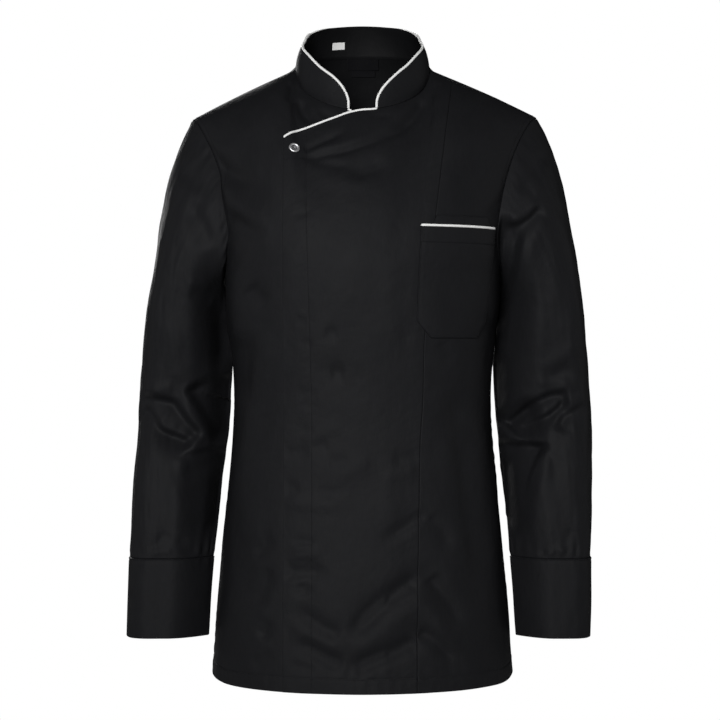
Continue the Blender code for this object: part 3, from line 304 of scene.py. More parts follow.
BACK_CREASES = table("""
-2.4 8 .2 .3 -150 -120 -128 -165 -96 -205; 1.8 8 .2 .3 -146 -100 -122 -128 -92 -142
-2.2 8 .2 .3 152 -128 130 -176 100 -222; 1.6 8 .2 .3 150 -104 126 -132 92 -150
-1.6 8 .3 .3 -60 -62 -20 -72 22 -70; -1.2 6 .3 .3 30 -58 60 -70 86 -92
-3 8 .2 .3 -104 -372 -60 -388 0 -392 52 -380; 2.4 7 .2 .3 -96 -392 -50 -406 8 -408 66 -394
-2.8 7 .2 .3 -60 -428 -14 -424 40 -432 96 -452; 2 7 .3 .3 -40 -446 10 -442 66 -454
-2.2 8 .3 .3 -130 -414 -100 -436 -64 -448; -1.8 7 .3 .3 60 -410 96 -402 136 -410
-1.4 6 .3 .3 -20 -352 10 -358 44 -352; 1.8 12 .3 .3 -92 -500 -104 -570 -112 -650
-1.8 12 .3 .3 -62 -480 -70 -560 -74 -640; 1.8 13 .3 .3 62 -500 72 -590 76 -690
-1.8 12 .3 .3 98 -500 110 -580 114 -660; -1.6 12 .3 .3 6 -560 10 -640 6 -720
1.4 11 .3 .3 -28 -600 -34 -670 -30 -730; -1.6 8 .2 .3 -128 -610 -104 -636 -84 -664
-1.4 8 .2 .3 132 -560 116 -592 100 -622; 1.3 9 .3 .3 -70 -230 -40 -262 -6 -282
-1.2 10 .3 .3 78 -240 44 -272 16 -286; -1.2 6 .3 .3 -140 -700 -112 -712 -80 -716
-1 6 .3 .3 40 -712 72 -718 108 -712
""")
SLEEVE_CREASES = {1: table("""
-2.6 9 .2 .2 226 -107 210 -133 193 -162; 1.8 8 .2 .3 232 -111 219 -141 205 -170
2.4 7 .3 .1 219 -165 208 -173 193 -184 179 -191
2 9 .2 .3 223 -173 211 -207 200 -247 188 -303; -1.4 11 .3 .3 253 -227 248 -276 241 -326
1.8 10 .3 .3 273 -338 246 -358 219 -375; -2.4 9 .3 .3 258 -367 239 -380 219 -386
1.8 7 .2 .3 214 -393 231 -389 248 -390 260 -398
1.4 8 .15 .1 257 -402 231 -417 210 -432 192 -448 179 -456
.5 7 .2 .3 177 -455 186 -461 202 -461
.9 7 .15 .3 260 -403 252 -418 241 -432 231 -445 229 -461
2 6 .3 .3 263 -402 274 -409 282 -419
.7 10 .1 .3 232 -469 225 -488 215 -515 210 -544 209 -572 219 -599
-1.6 7 .3 .2 244 -596 252 -581 258 -568; 1.6 7 .3 .2 223 -605 239 -594 251 -599
-1.6 7 .2 .2 216 -604 225 -594 234 -592; -14 10 .2 .2 167 -350 168 -393 170 -430 171 -451
-11 9 .2 .3 173 -476 179 -523 184 -584; -8 8 .2 .3 177 -182 173 -227 171 -276
"""), -1: table("""
-2.4 9 .2 .3 221 -126 208 -141 195 -155; .8 9 .3 .3 230 -131 218 -150 205 -173
-2.2 10 .3 .3 216 -170 203 -200 192 -233; .6 10 .3 .3 235 -171 220 -205 208 -242
1.8 7 .3 .2 218 -269 200 -270 186 -275; -2.4 8 .3 .2 215 -281 198 -285 186 -290
-1.2 11 .3 .3 247 -202 250 -258 244 -326; 2.6 10 .4 .2 234 -306 231 -350 226 -395
2 8 .15 .2 272 -398 252 -399 232 -395
1.6 9 .15 .1 225 -396 215 -414 202 -438 190 -456 189 -464
.8 7 .2 .2 188 -461 195 -469 208 -467 220 -461
.4 7 .2 .1 264 -417 250 -420 235 -427 223 -441 208 -457 194 -465
1.8 14 .3 .3 250 -427 237 -436 225 -446; -1.6 7 .3 .2 267 -594 252 -588 240 -572
1.4 6 .3 .2 262 -604 250 -597 232 -598; -1.8 7 .3 .1 227 -578 218 -592 213 -607
-1 9 .3 .3 262 -473 257 -510 260 -547; -16 12 .15 .2 172 -377 173 -406 173 -436 173 -470
-8 9 .3 .3 174 -381 178 -326 181 -276; -10 10 .1 .3 173 -470 177 -523 181 -591
-3.6 9 .3 .3 211 -165 195 -196 183 -227
""")}
SLEEVE_BACK_CREASES = table("""
-2.4 9 .2 .4 184 -386 204 -394 230 -414; 1.4 10 .3 .4 188 -402 206 -412 224 -432
-1.8 8 .3 .3 276 -380 258 -388 240 -402; -2.6 10 .2 .4 184 -426 206 -432 232 -446 250 -466
1.4 10 .3 .4 186 -446 206 -454 226 -470; -1.6 8 .3 .3 272 -420 256 -430 242 -446
-1.4 10 .2 .4 188 -474 206 -482 218 -498; -1 9 .3 .3 268 -470 256 -486 250 -506
-1.8 9 .2 .3 196 -120 206 -160 214 -210; 1.4 10 .3 .3 220 -118 230 -166 236 -226
-1.6 12 .3 .3 246 -170 252 -230 254 -290; 1.2 12 .3 .3 204 -240 210 -290 212 -350
-1.2 12 .3 .3 226 -500 230 -545 226 -590; 1.2 7 .3 .1 248 -570 240 -586 236 -602
-1.2 7 .3 .1 216 -574 222 -590 224 -604
""")
BACK_SHIFT = {1: 0, -1: 9}  # how much lower the right sleeve's back has them
# Deep folds: depth, half width of the step, how far it takes to come back, fades, then x, z
SLEEVE_STEPS = {1: table("""
11 5.5 16 .1 .1 179 -444 199 -425 216 -411 234 -403 255 -401
15 11 34 .2 .35 168 -444 183 -428 200 -416 220 -408
7 4 12 .15 .2 194 -446 209 -439 227 -430 240 -420 251 -407
6 4.5 14 .2 .2 236 -449 246 -433 260 -423 276 -413
16 6 26 .05 .15 165 -464 184 -465 202 -466 221 -467 230 -473
7 4 12 .2 .2 174 -197 189 -195 203 -187 216 -171
12 6 100 .15 .3 199 -197 192 -221 186 -258 179 -301 174 -356
4 9 100 .2 .3 230 -472 220 -493 210 -523 205 -560 205 -594
8 7 100 .2 .3 182 -480 184 -510 188 -547 193 -591
"""), -1: table("""
13 6 24 .12 .1 197 -457 211 -441 223 -425 232 -414 248 -409 262 -407 277 -404
10 5 24 .2 .12 205 -466 225 -457 246 -448 255 -435 262 -424 269 -417
6 5 25 .2 .3 181 -466 193 -473 213 -477 230 -482; 6 16 90 .3 .3 192 -282 194 -332 193 -381
13 6 60 .3 .12 181 -380 195 -387 210 -395 216 -402 211 -409 200 -427 189 -449 184 -469
6 14 100 .2 .3 232 -488 220 -535 215 -591; 7 7 100 .3 .3 184 -492 189 -535 194 -591
6 6 100 .2 .3 183 -307 184 -350 186 -393
""")}
WAVES = ((0.5, 80), (0.22, 34), (0.09, 16))  # height and length of the cloth's slight waves
# Ripples beside sewing: height, length, reach
SIDE_RIPPLES = (0.7, 15, 5)
HEM_RIPPLES = (0.7, 17, 8)
BAND_RIPPLES = (0.35, 14, 6)
PRINCESS_RIPPLES = (1, 11, 7)
PLACKET_RIPPLES = (0.3, 9, 5)
CAP_RIPPLES = (0.8, 14, 7)
WRIST_RIPPLES = (1.1, 19, 9)
CUFF_RIPPLES = (0.35, 16, 5)
POCKET_RIPPLES = (0.35, 13, 4)

SEAM_GAP = -0.2  # sewn shells run a little into each other, under the seam
TUCK = (3.0, 1.3, 2.2)  # a seam allowance: its length, and its two sides' depth
GRID = 3.0  # spacing of a shell's points
SLEEVE_GRID = 2.5
CLOSE_IN = (0.4, 0.9, 1.6)  # the first points' distances from a sewn or free edge
BESIDE = (-1.5, -0.75, 0, 0.75, 1.5)  # and those of the points round a line of stitches
SIDE_ROUND = 250.0  # round the front or the back from its middle to the side seam
LOW_RISE = 505.0  # from the hem up to the underarm
HIGH_RISE = 225.0  # and on to the top
HIGH_ROWS = 84
# Rough widths and heights of the pieces' strips, by which their points are spaced
CENTRE_STRIP, SIDE_STRIP, RIGHT_STRIP, UNDERLAP_STRIP, BACK_STRIP = 138, 150, 165, 118, 520
CAP_LENGTH, COLLAR_HEIGHT, POCKET_WIDTH, PEN_WIDTH, PEN_HEIGHT = 220, 30, 90, 71, 30.5
COVERED_GRID, BACK_GRID, COLLAR_GRID = 5.0, 3.4, 2.4
COLLAR_FRONT = (24, 22, 1.3)  # degrees behind its ends with closer points, how many, their power
COLLAR_REST = 84  # points from there to the back's middle
EDGE_STILL = 9.0  # how near a sewn edge the creases die out
SEAM_ROLL = (1.2, 0.5)  # how deep an edge rolls in at a seam, and over what distance
EDGE_ROUND = 1.1  # radius of a free edge
EDGE_THICK = (0.9, 9)  # how much thicker it is, turned in, and over what distance
HEM_BAND = 18.0  # height of the turned-up hem
BAND_STEP = (-0.6, 0.8)  # where its step lies about the stitches
BAND_PLIES = (0.35, 0.55)  # how far it stands out on the outer side and the inner
PLACKET_STRIP = 34  # width of the placket from the overlap's edge to its stitches
PLACKET_TACK = ((-95.5, -122), (-69, -120.6))  # x, height of the stitches across it
CUFF_STITCHES = 2.4  # distances of the stitches from an edge
COLLAR_STITCHES = 2.6
POCKET_STITCHES = 1.8
PEN_STITCHES = 1.7
ARMHOLE_STITCHES = (1.6, 6.6)
BAR_TACKS = (3.4, 5.0)
GROOVE = (0.45, 1.1)  # depth and reach of the dent along a line of stitches
FINE_GROOVE = (0.3, 1.1)
PLACKET_GROOVE = (0.25, 0.6)
STITCH_PITCH = 3.0
STITCH_LENGTH = 2.2
STITCH_RADIUS = 0.24
# How far lines of stitches are lifted off the cloth's dents
LIFT = {"hem": 0.25, "placket": 0.3, "armhole": 0.1, "cuff": 0.1, "collar": 0.15, "pocket": 0.12,
        "band": 0.2, "label": 0.05}
STITCH_HIGH = 0.12  # how far a stitch's middle line lies over the cloth
STITCH_DIP = -0.23  # and its two ends
SHARP = 50  # degrees over which an edge is shaded sharp

RIB_SCALE = 0.314  # wave texture's scale for one rib a metre
# The cloth's inside faces are darkened as painted shade: the map drop below marks them, and the
# tone after it darkens them
SHADED_INSIDE_MAP_DROP = 10.0  # how far down the map the inside faces of the cloth lie, in metres
INSIDE_PAINTED_SHADE = (0.5, 0.5, 0.5)
# Darkest and lightest tones
TWILL_TONES = ((0.0056, 0.0057, 0.0065), (0.0108, 0.0110, 0.0123))
PIPING_TONES = ((0.74, 0.74, 0.73), (0.86, 0.86, 0.85))
THREAD_TONES = ((0.004, 0.004, 0.005), (0.009, 0.009, 0.010))
BRIGHT_TONES = ((0.68, 0.68, 0.69), (0.84, 0.84, 0.85))
DULL_TONES = ((0.2, 0.2, 0.21), (0.36, 0.36, 0.37))
BLACK_LABEL_TONES = ((0.0025, 0.0025, 0.0032), (0.0062, 0.0062, 0.0072))
WHITE_LABEL_TONES = ((0.66, 0.66, 0.65), (0.82, 0.82, 0.81))
FLOOR_TONES = ((0.80, 0.80, 0.80), (0.85, 0.85, 0.85))
LIGHTS = (  # place, size in metres, watts, degrees of spread
    ("key", (-0.62, -3.0, 0.3), (1.2, 1.2), 8.3, 44),
    ("fill", (3.0, -1.1, 0.2), (1.2, 1.8), 6, 180),
    ("back", (-0.7, 3.2, 0.7), (2.0, 1.8), 90, 180),
    ("left", (-3.1, 0.6, 0.3), (1.2, 2.0), 12, 180),
    ("right", (3.1, 0.6, 0.3), (1.2, 2.0), 12, 180),
)
AIM = (0, 0, -0.31)
CAMERA_AT = (-0.003125, -2.6, -0.3625)
LENS = 104.0
ROOM_LIGHT = 0.015
FLOOR_Z = -1.45
FLOOR_RADIUS = 3.4
FLOOR_SIDES = 96


# ---- curves and vectors
def unit(vectors):
    """Vectors of length one."""
    return vectors / np.maximum(np.linalg.norm(vectors, axis=-1, keepdims=True), 1e-12)


def dot(first, second):
    """Dot product, kept as a last axis of one."""
    return np.sum(first * second, axis=-1, keepdims=True)


def hermite(start, start_slope, end, end_slope, t):
    """Cubic between two points that leaves and arrives along two slopes."""
    a = 2 * t**3 - 3 * t**2 + 1
    b = t**3 - 2 * t**2 + t
    c = t**3 - t**2
    return a * start + b * start_slope + (1 - a) * end + c * end_slope


def spline(rows, at):
    """A table's columns, read at places of its first column along smooth curves."""
    rows = np.array(rows, float)
    knots, values = rows[:, 0], rows[:, 1:]
    slopes = np.gradient(values, knots, axis=0)
    at = np.clip(np.asarray(at, float), knots[0], knots[-1])
    low = np.clip(np.searchsorted(knots, at, side="right") - 1, 0, len(knots) - 2)
    step = (knots[low + 1] - knots[low])[..., None]
    t = (at - knots[low])[..., None] / step
    found = hermite(values[low], slopes[low] * step, values[low + 1], slopes[low + 1] * step, t)
    return np.moveaxis(found, -1, 0)


def straight(rows, at, column=1):
    """A table's column, read along straight lines."""
    rows = np.array(rows, float)
    return np.interp(at, rows[:, 0], rows[:, column])


def read_at(at, places, values):
    """All columns of values that stand at places, read along straight lines."""
    return np.stack([np.interp(at, places, column) for column in values.T], -1)


def ramp(low, high, at):
    """From 0 at low to 1 at high, with soft ends."""
    t = np.clip((at - low) / (high - low), 0, 1)
    return t * t * (3 - 2 * t)


def away_from(points, axis):
    """Distances along a grid's lines from their start and to their end."""
    steps = np.linalg.norm(np.diff(points, axis=axis), axis=-1)
    start = np.zeros_like(steps.take([0], axis))
    along = np.concatenate([start, np.cumsum(steps, axis=axis)], axis=axis)
    return along, along.take([-1], axis) - along


def evened(path, spacing):
    """A path's points, respaced along a smooth curve through them."""
    length = away_from(path, 0)[0]
    count = max(2, int(round(length[-1] / spacing)) + 1)
    return spline(np.column_stack([length, path]), np.linspace(0, length[-1], count)).T


# ---- torso surface: face -1 front, 1 back; around -1 to 1; up 0 hem, 1 underarm, 2 top edge
def torso_ring(face, around, z):
    """Points on the level ring of the torso at a height."""
    half, front, back = spline(TORSO, z)
    depth = front if face < 0 else back
    angle = around * math.pi / 2
    y = face * depth * np.cos(angle) * (1 + FULLNESS * np.sin(angle)**2)
    return np.stack(np.broadcast_arrays(half * np.sin(angle), y, z), -1)


def edge_points(face, around):
    """Points on the neckline and, past it, on the shoulder seam."""
    share = np.abs(around)
    right = (around < 0)[..., None]
    turn = 90 * np.clip(share / NECK_SHARE, 0, 1)
    neck = np.stack(spline(NECKLINE, turn if face < 0 else 180 - turn), -1)
    start = np.array(SHOULDER_NECK, float)
    end = np.where(right, SHOULDER_END[-1], SHOULDER_END[1])
    run = np.clip((share - NECK_SHARE) / (SHOULDER_SHARE - NECK_SHARE), 0, 1)[..., None]
    past = np.maximum(share - SHOULDER_SHARE, 0)[..., None] * SHOULDER_BEYOND
    shoulder = start + run * (end - start) + past
    shoulder[..., 2] += SHOULDER_BOW * 4 * (run * (1 - run))[..., 0]
    points = np.where((share <= NECK_SHARE)[..., None], neck, shoulder)
    return points * np.where(right, [-1, 1, 1], [1, 1, 1])


def corner_table(face):
    """The torso's top edge by shares of the way round, its neck corner rounded more and more."""
    shares = np.linspace(-CORNER_SPAN, CORNER_SPAN, CORNER_PLACES)
    step = shares[1] - shares[0]
    sharp = edge_points(face, shares)
    tables = [sharp]
    for level in range(1, CORNER_LEVELS + 1):
        half = int(round(CORNER_REACH * level / CORNER_LEVELS / step))
        taps = np.arange(-half, half + 1)
        weights = 1.25 - np.abs(taps) / max(half, 1)
        weights[[0, -1]] *= 0.5
        padded = np.pad(sharp, ((half, half), (0, 0)), mode="edge")
        tables.append(sum(weight * padded[half + tap:half + tap + len(shares)]
                          for weight, tap in zip(weights, taps)) / weights.sum())
    return np.array(tables), shares[0], step


CORNERS = {face: corner_table(face) for face in (-1, 1)}


def top_edge(face, around, up):
    """The edge a column of the torso runs up to, its corner rounded below it, and the way up."""
    tables, start, step = CORNERS[face]
    level = CORNER_LEVELS * np.sqrt(np.clip(2 - up, 0, 1))
    low = np.minimum(level.astype(int), CORNER_LEVELS - 1)
    rest = (level - low)[..., None]
    at = (around - start) / step
    left = np.clip(at.astype(int), 1, tables.shape[1] - 3)
    t = (at - left)[..., None]
    edge = 0
    for level, weight in ((low, 1 - rest), (low + 1, rest)):
        before, here, after, beyond = (tables[level, left + shift] for shift in (-1, 0, 1, 2))
        edge = edge + weight * hermite(here, (after - before) / 2, after, (beyond - here) / 2, t)
    side = np.tanh(around / 0.01)
    out, inwards, rise = spline(FRONT_RUN_UP if face < 0 else BACK_RUN_UP, np.abs(around))
    return edge, np.stack([side * out, -face * inwards, rise], -1)


def torso_base(face, around, up):
    """The torso's surface with no folds in it."""
    around, up = np.broadcast_arrays(np.asarray(around, float), np.asarray(up, float))
    hem = spline(HEM, np.abs(around))[0]
    low = torso_ring(face, around, hem + np.clip(up, 0, 1) * (CHEST_Z - hem))
    level = np.full(around.shape, float(CHEST_Z))
    chest = torso_ring(face, around, level)
    rise = chest - torso_ring(face, around, level - 1)
    edge, slope = top_edge(face, around, up)
    span = np.linalg.norm(edge - chest, axis=-1, keepdims=True)
    high = hermite(chest, rise * span, edge, slope * span, np.clip(up - 1, 0, 1)[..., None])
    return np.where(up[..., None] <= 1, low, high)


def outward(face, around, up):
    """Unit normals of the torso's surface, pointing out of the jacket."""
    across = (torso_base(face, np.minimum(around + STEP, 1), up)
              - torso_base(face, np.maximum(around - STEP, -1), up))
    along = (torso_base(face, around, np.minimum(up + STEP, 2))
             - torso_base(face, around, np.maximum(up - STEP, 0)))
    return unit(-face * np.cross(across, along))


# ---- places on the torso
def upright_line(rows):
    """Share of the way round, for each up, of a line on the front given as heights and x."""
    ups, rounds = np.linspace(0, 2, 101), np.linspace(-0.9, 0.9, 361)
    points = torso_base(-1, rounds, ups[:, None])
    miss = points[..., 0] - straight(rows, points[..., 2])
    shares = [np.interp(0, row, rounds) for row in miss]
    return lambda up: np.interp(up, ups, shares)


def level_line(rows):
    """Up, for each share of the way round, of a line on the front given as x and heights."""
    ups, rounds = np.linspace(0, 2, 401), np.linspace(-0.8, 0.8, 161)
    points = torso_base(-1, rounds[:, None], ups)
    miss = points[..., 2] - straight(rows, points[..., 0])
    found = [np.interp(0, row, ups) for row in miss]
    return lambda around: np.interp(around, rounds, found)


def place(face, x, z):
    """The share and up at which the torso's surface passes x and z, seen from the front."""
    x, z = np.broadcast_arrays(np.asarray(x, float), np.asarray(z, float))
    around, up = x / 260, np.ones(x.shape)
    for _ in range(20):
        here = torso_base(face, around, up)
        by_around = (torso_base(face, around + STEP, up) - here) / STEP
        by_up = (torso_base(face, around, up + STEP) - here) / STEP
        miss_x, miss_z = x - here[..., 0], z - here[..., 2]
        spread = by_around[..., 0] * by_up[..., 2] - by_up[..., 0] * by_around[..., 2]
        step_around = (miss_x * by_up[..., 2] - miss_z * by_up[..., 0]) / spread
        step_up = (miss_z * by_around[..., 0] - miss_x * by_around[..., 2]) / spread
        around = np.clip(around + np.clip(step_around, -0.2, 0.2), -0.97, 0.97)
        up = np.clip(up + np.clip(step_up, -0.3, 0.3), 0.0, 1.99)
    return around, up


def armhole_share(face, up):
    """Share of the way round at which the armhole lies."""
    return spline(FRONT_ARMHOLE if face < 0 else BACK_ARMHOLE, np.clip(up - 1, 0, 1))[0]


# ---- folds, creases, ripples and waves
def fold_height(folds, x, z):
    """How far the folds push the cloth out at a place seen from the front or back."""
    height = np.zeros(np.broadcast(x, z).shape)
    for x0, z0, x1, z1, half_width, peak in folds:
        run_x, run_z = x1 - x0, z1 - z0
        t = np.clip(((x - x0) * run_x + (z - z0) * run_z) / (run_x**2 + run_z**2), 0, 1)
        away = (x - x0 - t * run_x)**2 + (z - z0 - t * run_z)**2
        height = height + peak * np.exp(-away / half_width**2)
    return height


def crease_path(line):
    """A crease's places, close together along a smooth curve through them."""
    line = np.reshape(line, (-1, 2))
    fine = np.linspace(0, len(line) - 1, (len(line) - 1) * CREASE_PARTS + 1)
    return spline(np.column_stack([np.arange(len(line)), line]), fine).T


def seen_from(path, fade_in, fade_out, x, z):
    """Distances of places to a crease, above 0 on its right, and how strong it is there."""
    gone = away_from(path, 0)[0]
    signed, along = np.full(x.shape, np.inf), np.zeros(x.shape)
    for (x0, z0), (x1, z1), start, end in zip(path, path[1:], gone, gone[1:]):
        run_x, run_z, far_x, far_z = x1 - x0, z1 - z0, x - x0, z - z0
        t = np.clip((far_x * run_x + far_z * run_z) / (end - start)**2, 0, 1)
        away = np.hypot(far_x - t * run_x, far_z - t * run_z)
        nearer = away < np.abs(signed)
        signed = np.where(nearer, np.where(run_z * far_x > run_x * far_z, away, -away), signed)
        along = np.where(nearer, (start + t * (end - start)) / gone[-1], along)
    return signed, ramp(-0.02, fade_in, along) * (1 - ramp(1 - fade_out, 1.02, along))


def crease_height(creases, x, z):
    """How far the creases push the cloth out or in, at a place seen from the front or back."""
    height = np.zeros(x.shape)
    for peak, width, fade_in, fade_out, *line in creases:
        path = crease_path(line)
        low, high = path.min(axis=0) - 3 * width, path.max(axis=0) + 3 * width
        near = (x > low[0]) & (x < high[0]) & (z > low[1]) & (z < high[1])
        if near.any():
            signed, strong = seen_from(path, fade_in, fade_out, x[near], z[near])
            power = np.clip(0.9 + 0.12 * width, 1.3, 2)
            height[near] += peak * strong * np.exp(-(np.abs(signed) / width)**power)
    return height


def step_height(steps, x, z):
    """How far the cloth steps in past its deep folds: on each line's right, then slowly back."""
    height = np.zeros(x.shape)
    for depth, wall, back, fade_in, fade_out, *line in steps:
        signed, strong = seen_from(crease_path(line), fade_in, fade_out, x, z)
        coming_back = np.exp(-(np.maximum(signed - wall, 0) / back)**1.5)
        height -= depth * strong * ramp(-wall, wall, signed) * coming_back
    return height


def wander(at, seed):
    """Smooth noise from -1 to 1 along a line, with a new value at each whole number."""
    values = np.random.default_rng(seed).uniform(-1, 1, 512)
    low = np.floor(at).astype(int)
    t = ramp(0, 1, at - low)
    return values[low % 512] * (1 - t) + values[(low + 1) % 512] * t


def ripples(along, away, seed, height, length, reach):
    """Uneven ripples that run out from a line of sewing and are still at the line itself."""
    turn = 2 * math.pi * (along / length + 0.55 * wander(along / (1.7 * length), seed))
    size = np.clip(0.45 + 0.75 * wander(along / (2.6 * length), seed + 1), 0, 1.2)
    far = np.maximum(away, 0) / reach
    return height * size * np.sin(turn) * far * np.exp(1 - far) * np.exp(-0.25 * far)


def waves(across, upright, seed, height, length):
    """The slight waves of cloth that hangs free."""
    random = np.random.default_rng(seed)
    total = 0
    for _ in range(9):
        way, start = random.uniform(0, 2 * math.pi, 2)
        span = length * random.uniform(0.6, 1.8)
        total = total + np.sin(2 * math.pi / span
                               * (across * math.cos(way) + 0.75 * upright * math.sin(way)) + start)
    return height * total / 3


def line_ripples(rows, x, z, seed, *shape):
    """Ripples on both sides of an upright line on the front."""
    miss = x - straight(rows, z)
    slant = z + 0.5 * np.abs(miss)
    left, right = (ripples(slant, away, start, *shape)
                   for away, start in ((-miss, seed), (miss, seed + 7)))
    return np.where(miss < 0, left, right)


def smooth_height(face, over, around, up, base):
    """How far a torso piece stands off with the broad folds alone, for what is sewn to an edge."""
    calm = (1 - ramp(*SIDE_CALM, np.abs(around))) * (1 - ramp(*SHOULDER_CALM, up))
    broad = SOFT * calm * fold_height(FRONT_FOLDS if face < 0 else BACK_FOLDS,
                                      base[..., 0], base[..., 2])
    return broad + (SEEN_LIFT * (1 - ramp(*LIFT_FADE, base[..., 0])) if over else 0)


def dressed_height(face, over, around, up, base):
    """How far a torso piece stands off the model's unfolded surface, with all its creases."""
    x, z = base[..., 0], base[..., 2]
    broad = smooth_height(face, False, around, up, base)
    left = (np.where(up <= 1, 1.0, armhole_share(face, up)) - np.abs(around)) * SIDE_ROUND
    wide, hem = around * SIDE_ROUND, up * LOW_RISE
    fine = CREASED * crease_height(FRONT_CREASES if face < 0 else BACK_CREASES, x, z)
    for size, length in WAVES:
        fine = fine + waves(wide, z, 11 + face + length, size, length)
    fine = fine + ripples(z + 0.3 * x, left, 21 + face + 3 * over, *SIDE_RIPPLES)
    fine = fine + ripples(wide, hem - HEM_BAND, 31 + face, *HEM_RIPPLES)
    fine = fine + ripples(wide, HEM_BAND - hem, 41 + face, *BAND_RIPPLES)
    if over:
        low_down = 0.25 + 0.55 * ramp(-480, -640, z)
        fine = fine + low_down * line_ripples(PRINCESS_SEAM, x, z, 51, *PRINCESS_RIPPLES)
        fine = fine + line_ripples(PLACKET_SEAM, x, z, 61, *PLACKET_RIPPLES)
    height = broad + fine * ramp(0, EDGE_STILL, left) * ramp(0, 0.05, 2 - up)
    if face > 0:
        return height
    covered = straight(OVERLAP_TOP, x) - z
    lifted = 1 - ramp(*LIFT_FADE, x)
    sunk = ramp(*UNDER_IN, x - OVERLAP_EDGE[0][1]) * ramp(*UNDER_DOWN, covered)
    if over:
        deepest = -UNDER_CLEAR / 2 - UNDER_DEPTH * sunk - FALLEN_AWAY * (1 - lifted)
        return np.maximum(height, deepest) + SEEN_LIFT * lifted
    hidden = ramp(*COVER_START, x) * lifted * ramp(*COVERED_OVER, covered)
    return height * (1 - hidden) - (UNDER_DEPTH + UNDER_CLEAR) * sunk * lifted


def skin(face, over, around, up, height=dressed_height):
    """Points of a torso piece's outer side, and the normals they were moved along."""
    around, up = np.broadcast_arrays(np.asarray(around, float), np.asarray(up, float))
    base = torso_base(face, around, up)
    normal = outward(face, around, up)
    return base + normal * height(face, over, around, up, base)[..., None], normal


def on_front(x, z, height=smooth_height):
    """Points on the left front at x and z, with its broad folds alone or dressed, and normals."""
    return skin(-1, True, *place(-1, x, z), height)


# ---- meshes
def grid_corners(rows, columns):
    """Row and column of the four corners of every face in a grid."""
    row, column = np.meshgrid(np.arange(rows), np.arange(columns), indexing="ij")
    return np.stack([np.stack([row + up, column + right], -1)
                     for up, right in ((0, 0), (0, 1), (1, 1), (1, 0))], -2).reshape(-1, 4, 2)


def add_piece(name, points, faces, look, stands_for=(), flat=None, sharp=True, turned=False):
    """An object from points and faces, with a map if it has one, which rides on the jacket."""
    mesh = bpy.data.meshes.new(name)
    mesh.from_pydata((points.reshape(-1, 3) * MM).tolist(), [], faces)
    if flat is not None:
        layer = mesh.uv_layers.new(name="cloth")
        layer.uv.foreach_set("vector", flat.astype(np.float32).ravel())
    if turned:
        turn_out(mesh)
    mesh.shade_smooth()
    if sharp:
        mesh.set_sharp_from_angle(angle=math.radians(SHARP))
    mesh.materials.append(look)
    made = bpy.data.objects.new(name, mesh)
    bpy.context.scene.collection.objects.link(made)
    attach(made, "root")
    if stands_for:
        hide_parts(*stands_for)
    return made


def turn_out(mesh):
    """Turn a closed mesh's faces outwards."""
    volume = 0.0
    for face in mesh.polygons:
        corners = [mesh.vertices[index].co for index in face.vertices]
        for second, third in zip(corners[1:], corners[2:]):
            volume += corners[0].dot(second.cross(third))
    if volume < 0:
        mesh.flip_normals()


def shell(name, outer, inner, look, node, slot="twill", ring=False):
    """A closed sheet of cloth from its outer and inner points, with a map in metres."""
    rows, columns = outer.shape[:2]
    spans = columns if ring else columns - 1
    points = np.concatenate([outer.reshape(-1, 3), inner.reshape(-1, 3)])
    wide = np.concatenate([outer, outer[:, :1]], axis=1) if ring else outer
    across = away_from(wide, 1)[0]
    across = across - across[:, spans // 2:spans // 2 + 1]
    upright = np.linalg.norm(np.diff(wide, axis=0), axis=-1).mean(axis=1)
    upright = np.concatenate([[0], np.cumsum(upright)])[:, None] + 0 * across
    flat = np.stack([across, upright], -1) * MM
    corners = grid_corners(rows - 1, spans)

    def side(picked, lower):
        return lower * rows * columns + picked[..., 0] * columns + picked[..., 1] % columns

    faces = [side(corners, 0), side(corners[:, ::-1], 1)]
    maps = [corners, corners[:, ::-1]]

    def rim(first_row, first_column, last_row, last_column):
        first, last = (np.stack(np.broadcast_arrays(*at), -1)
                       for at in ((first_row, first_column), (last_row, last_column)))
        faces.append(np.stack([side(last, 0), side(first, 0), side(first, 1), side(last, 1)], -1))
        maps.append(np.stack([last, first, first, last], -2))

    at = np.arange(spans)
    rim(0, at, 0, at + 1)
    rim(rows - 1, at + 1, rows - 1, at)
    if not ring:
        at = np.arange(rows - 1)
        rim(at + 1, 0, at, 0)
        rim(at, columns - 1, at + 1, columns - 1)
    faces, maps = np.concatenate(faces), np.concatenate(maps)
    a, b, c, d = (points[faces[:, corner]] for corner in range(4))
    if np.sum(a * np.cross(b, c)) + np.sum(a * np.cross(c, d)) < 0:
        faces, maps = faces[:, ::-1], maps[:, ::-1]
    found = flat[maps[..., 0], maps[..., 1]]
    # Inside faces are moved down the map, so that the twill darkens them as painted shade
    found[len(corners):2 * len(corners), :, 1] -= SHADED_INSIDE_MAP_DROP
    return add_piece(name, points, faces.tolist(), look, (node,), found)


def rolled(away):
    """How far a sewn edge rolls in at a distance from it."""
    return SEAM_ROLL[0] * np.exp(-(away / SEAM_ROLL[1])**2)


def rounded(away, radius):
    """How far a free edge's two sides come together at a distance from it."""
    short = np.clip(radius - away, 0, radius)
    return radius - np.sqrt(np.maximum(radius**2 - short**2, 0))


def groove(away, depth=GROOVE[0], reach=GROOVE[1]):
    """The dent along a line of stitches."""
    return depth * np.exp(-(away / reach)**2)


def graded(width, spacing, start=True, end=True, extra=()):
    """Shares across a strip, close together at its sewn or free ends and round extra places."""
    stops = set(np.linspace(0, width, max(2, int(round(width / spacing))) + 1))
    stops |= {step for step in CLOSE_IN if start} | {width - step for step in CLOSE_IN if end}
    for place_at in extra:
        stops |= {place_at + step for step in BESIDE}
    stops = np.array(sorted(stops))
    keep = np.concatenate([[True], np.diff(stops) > 0.2])
    keep[-1] = True
    return stops[keep] / width


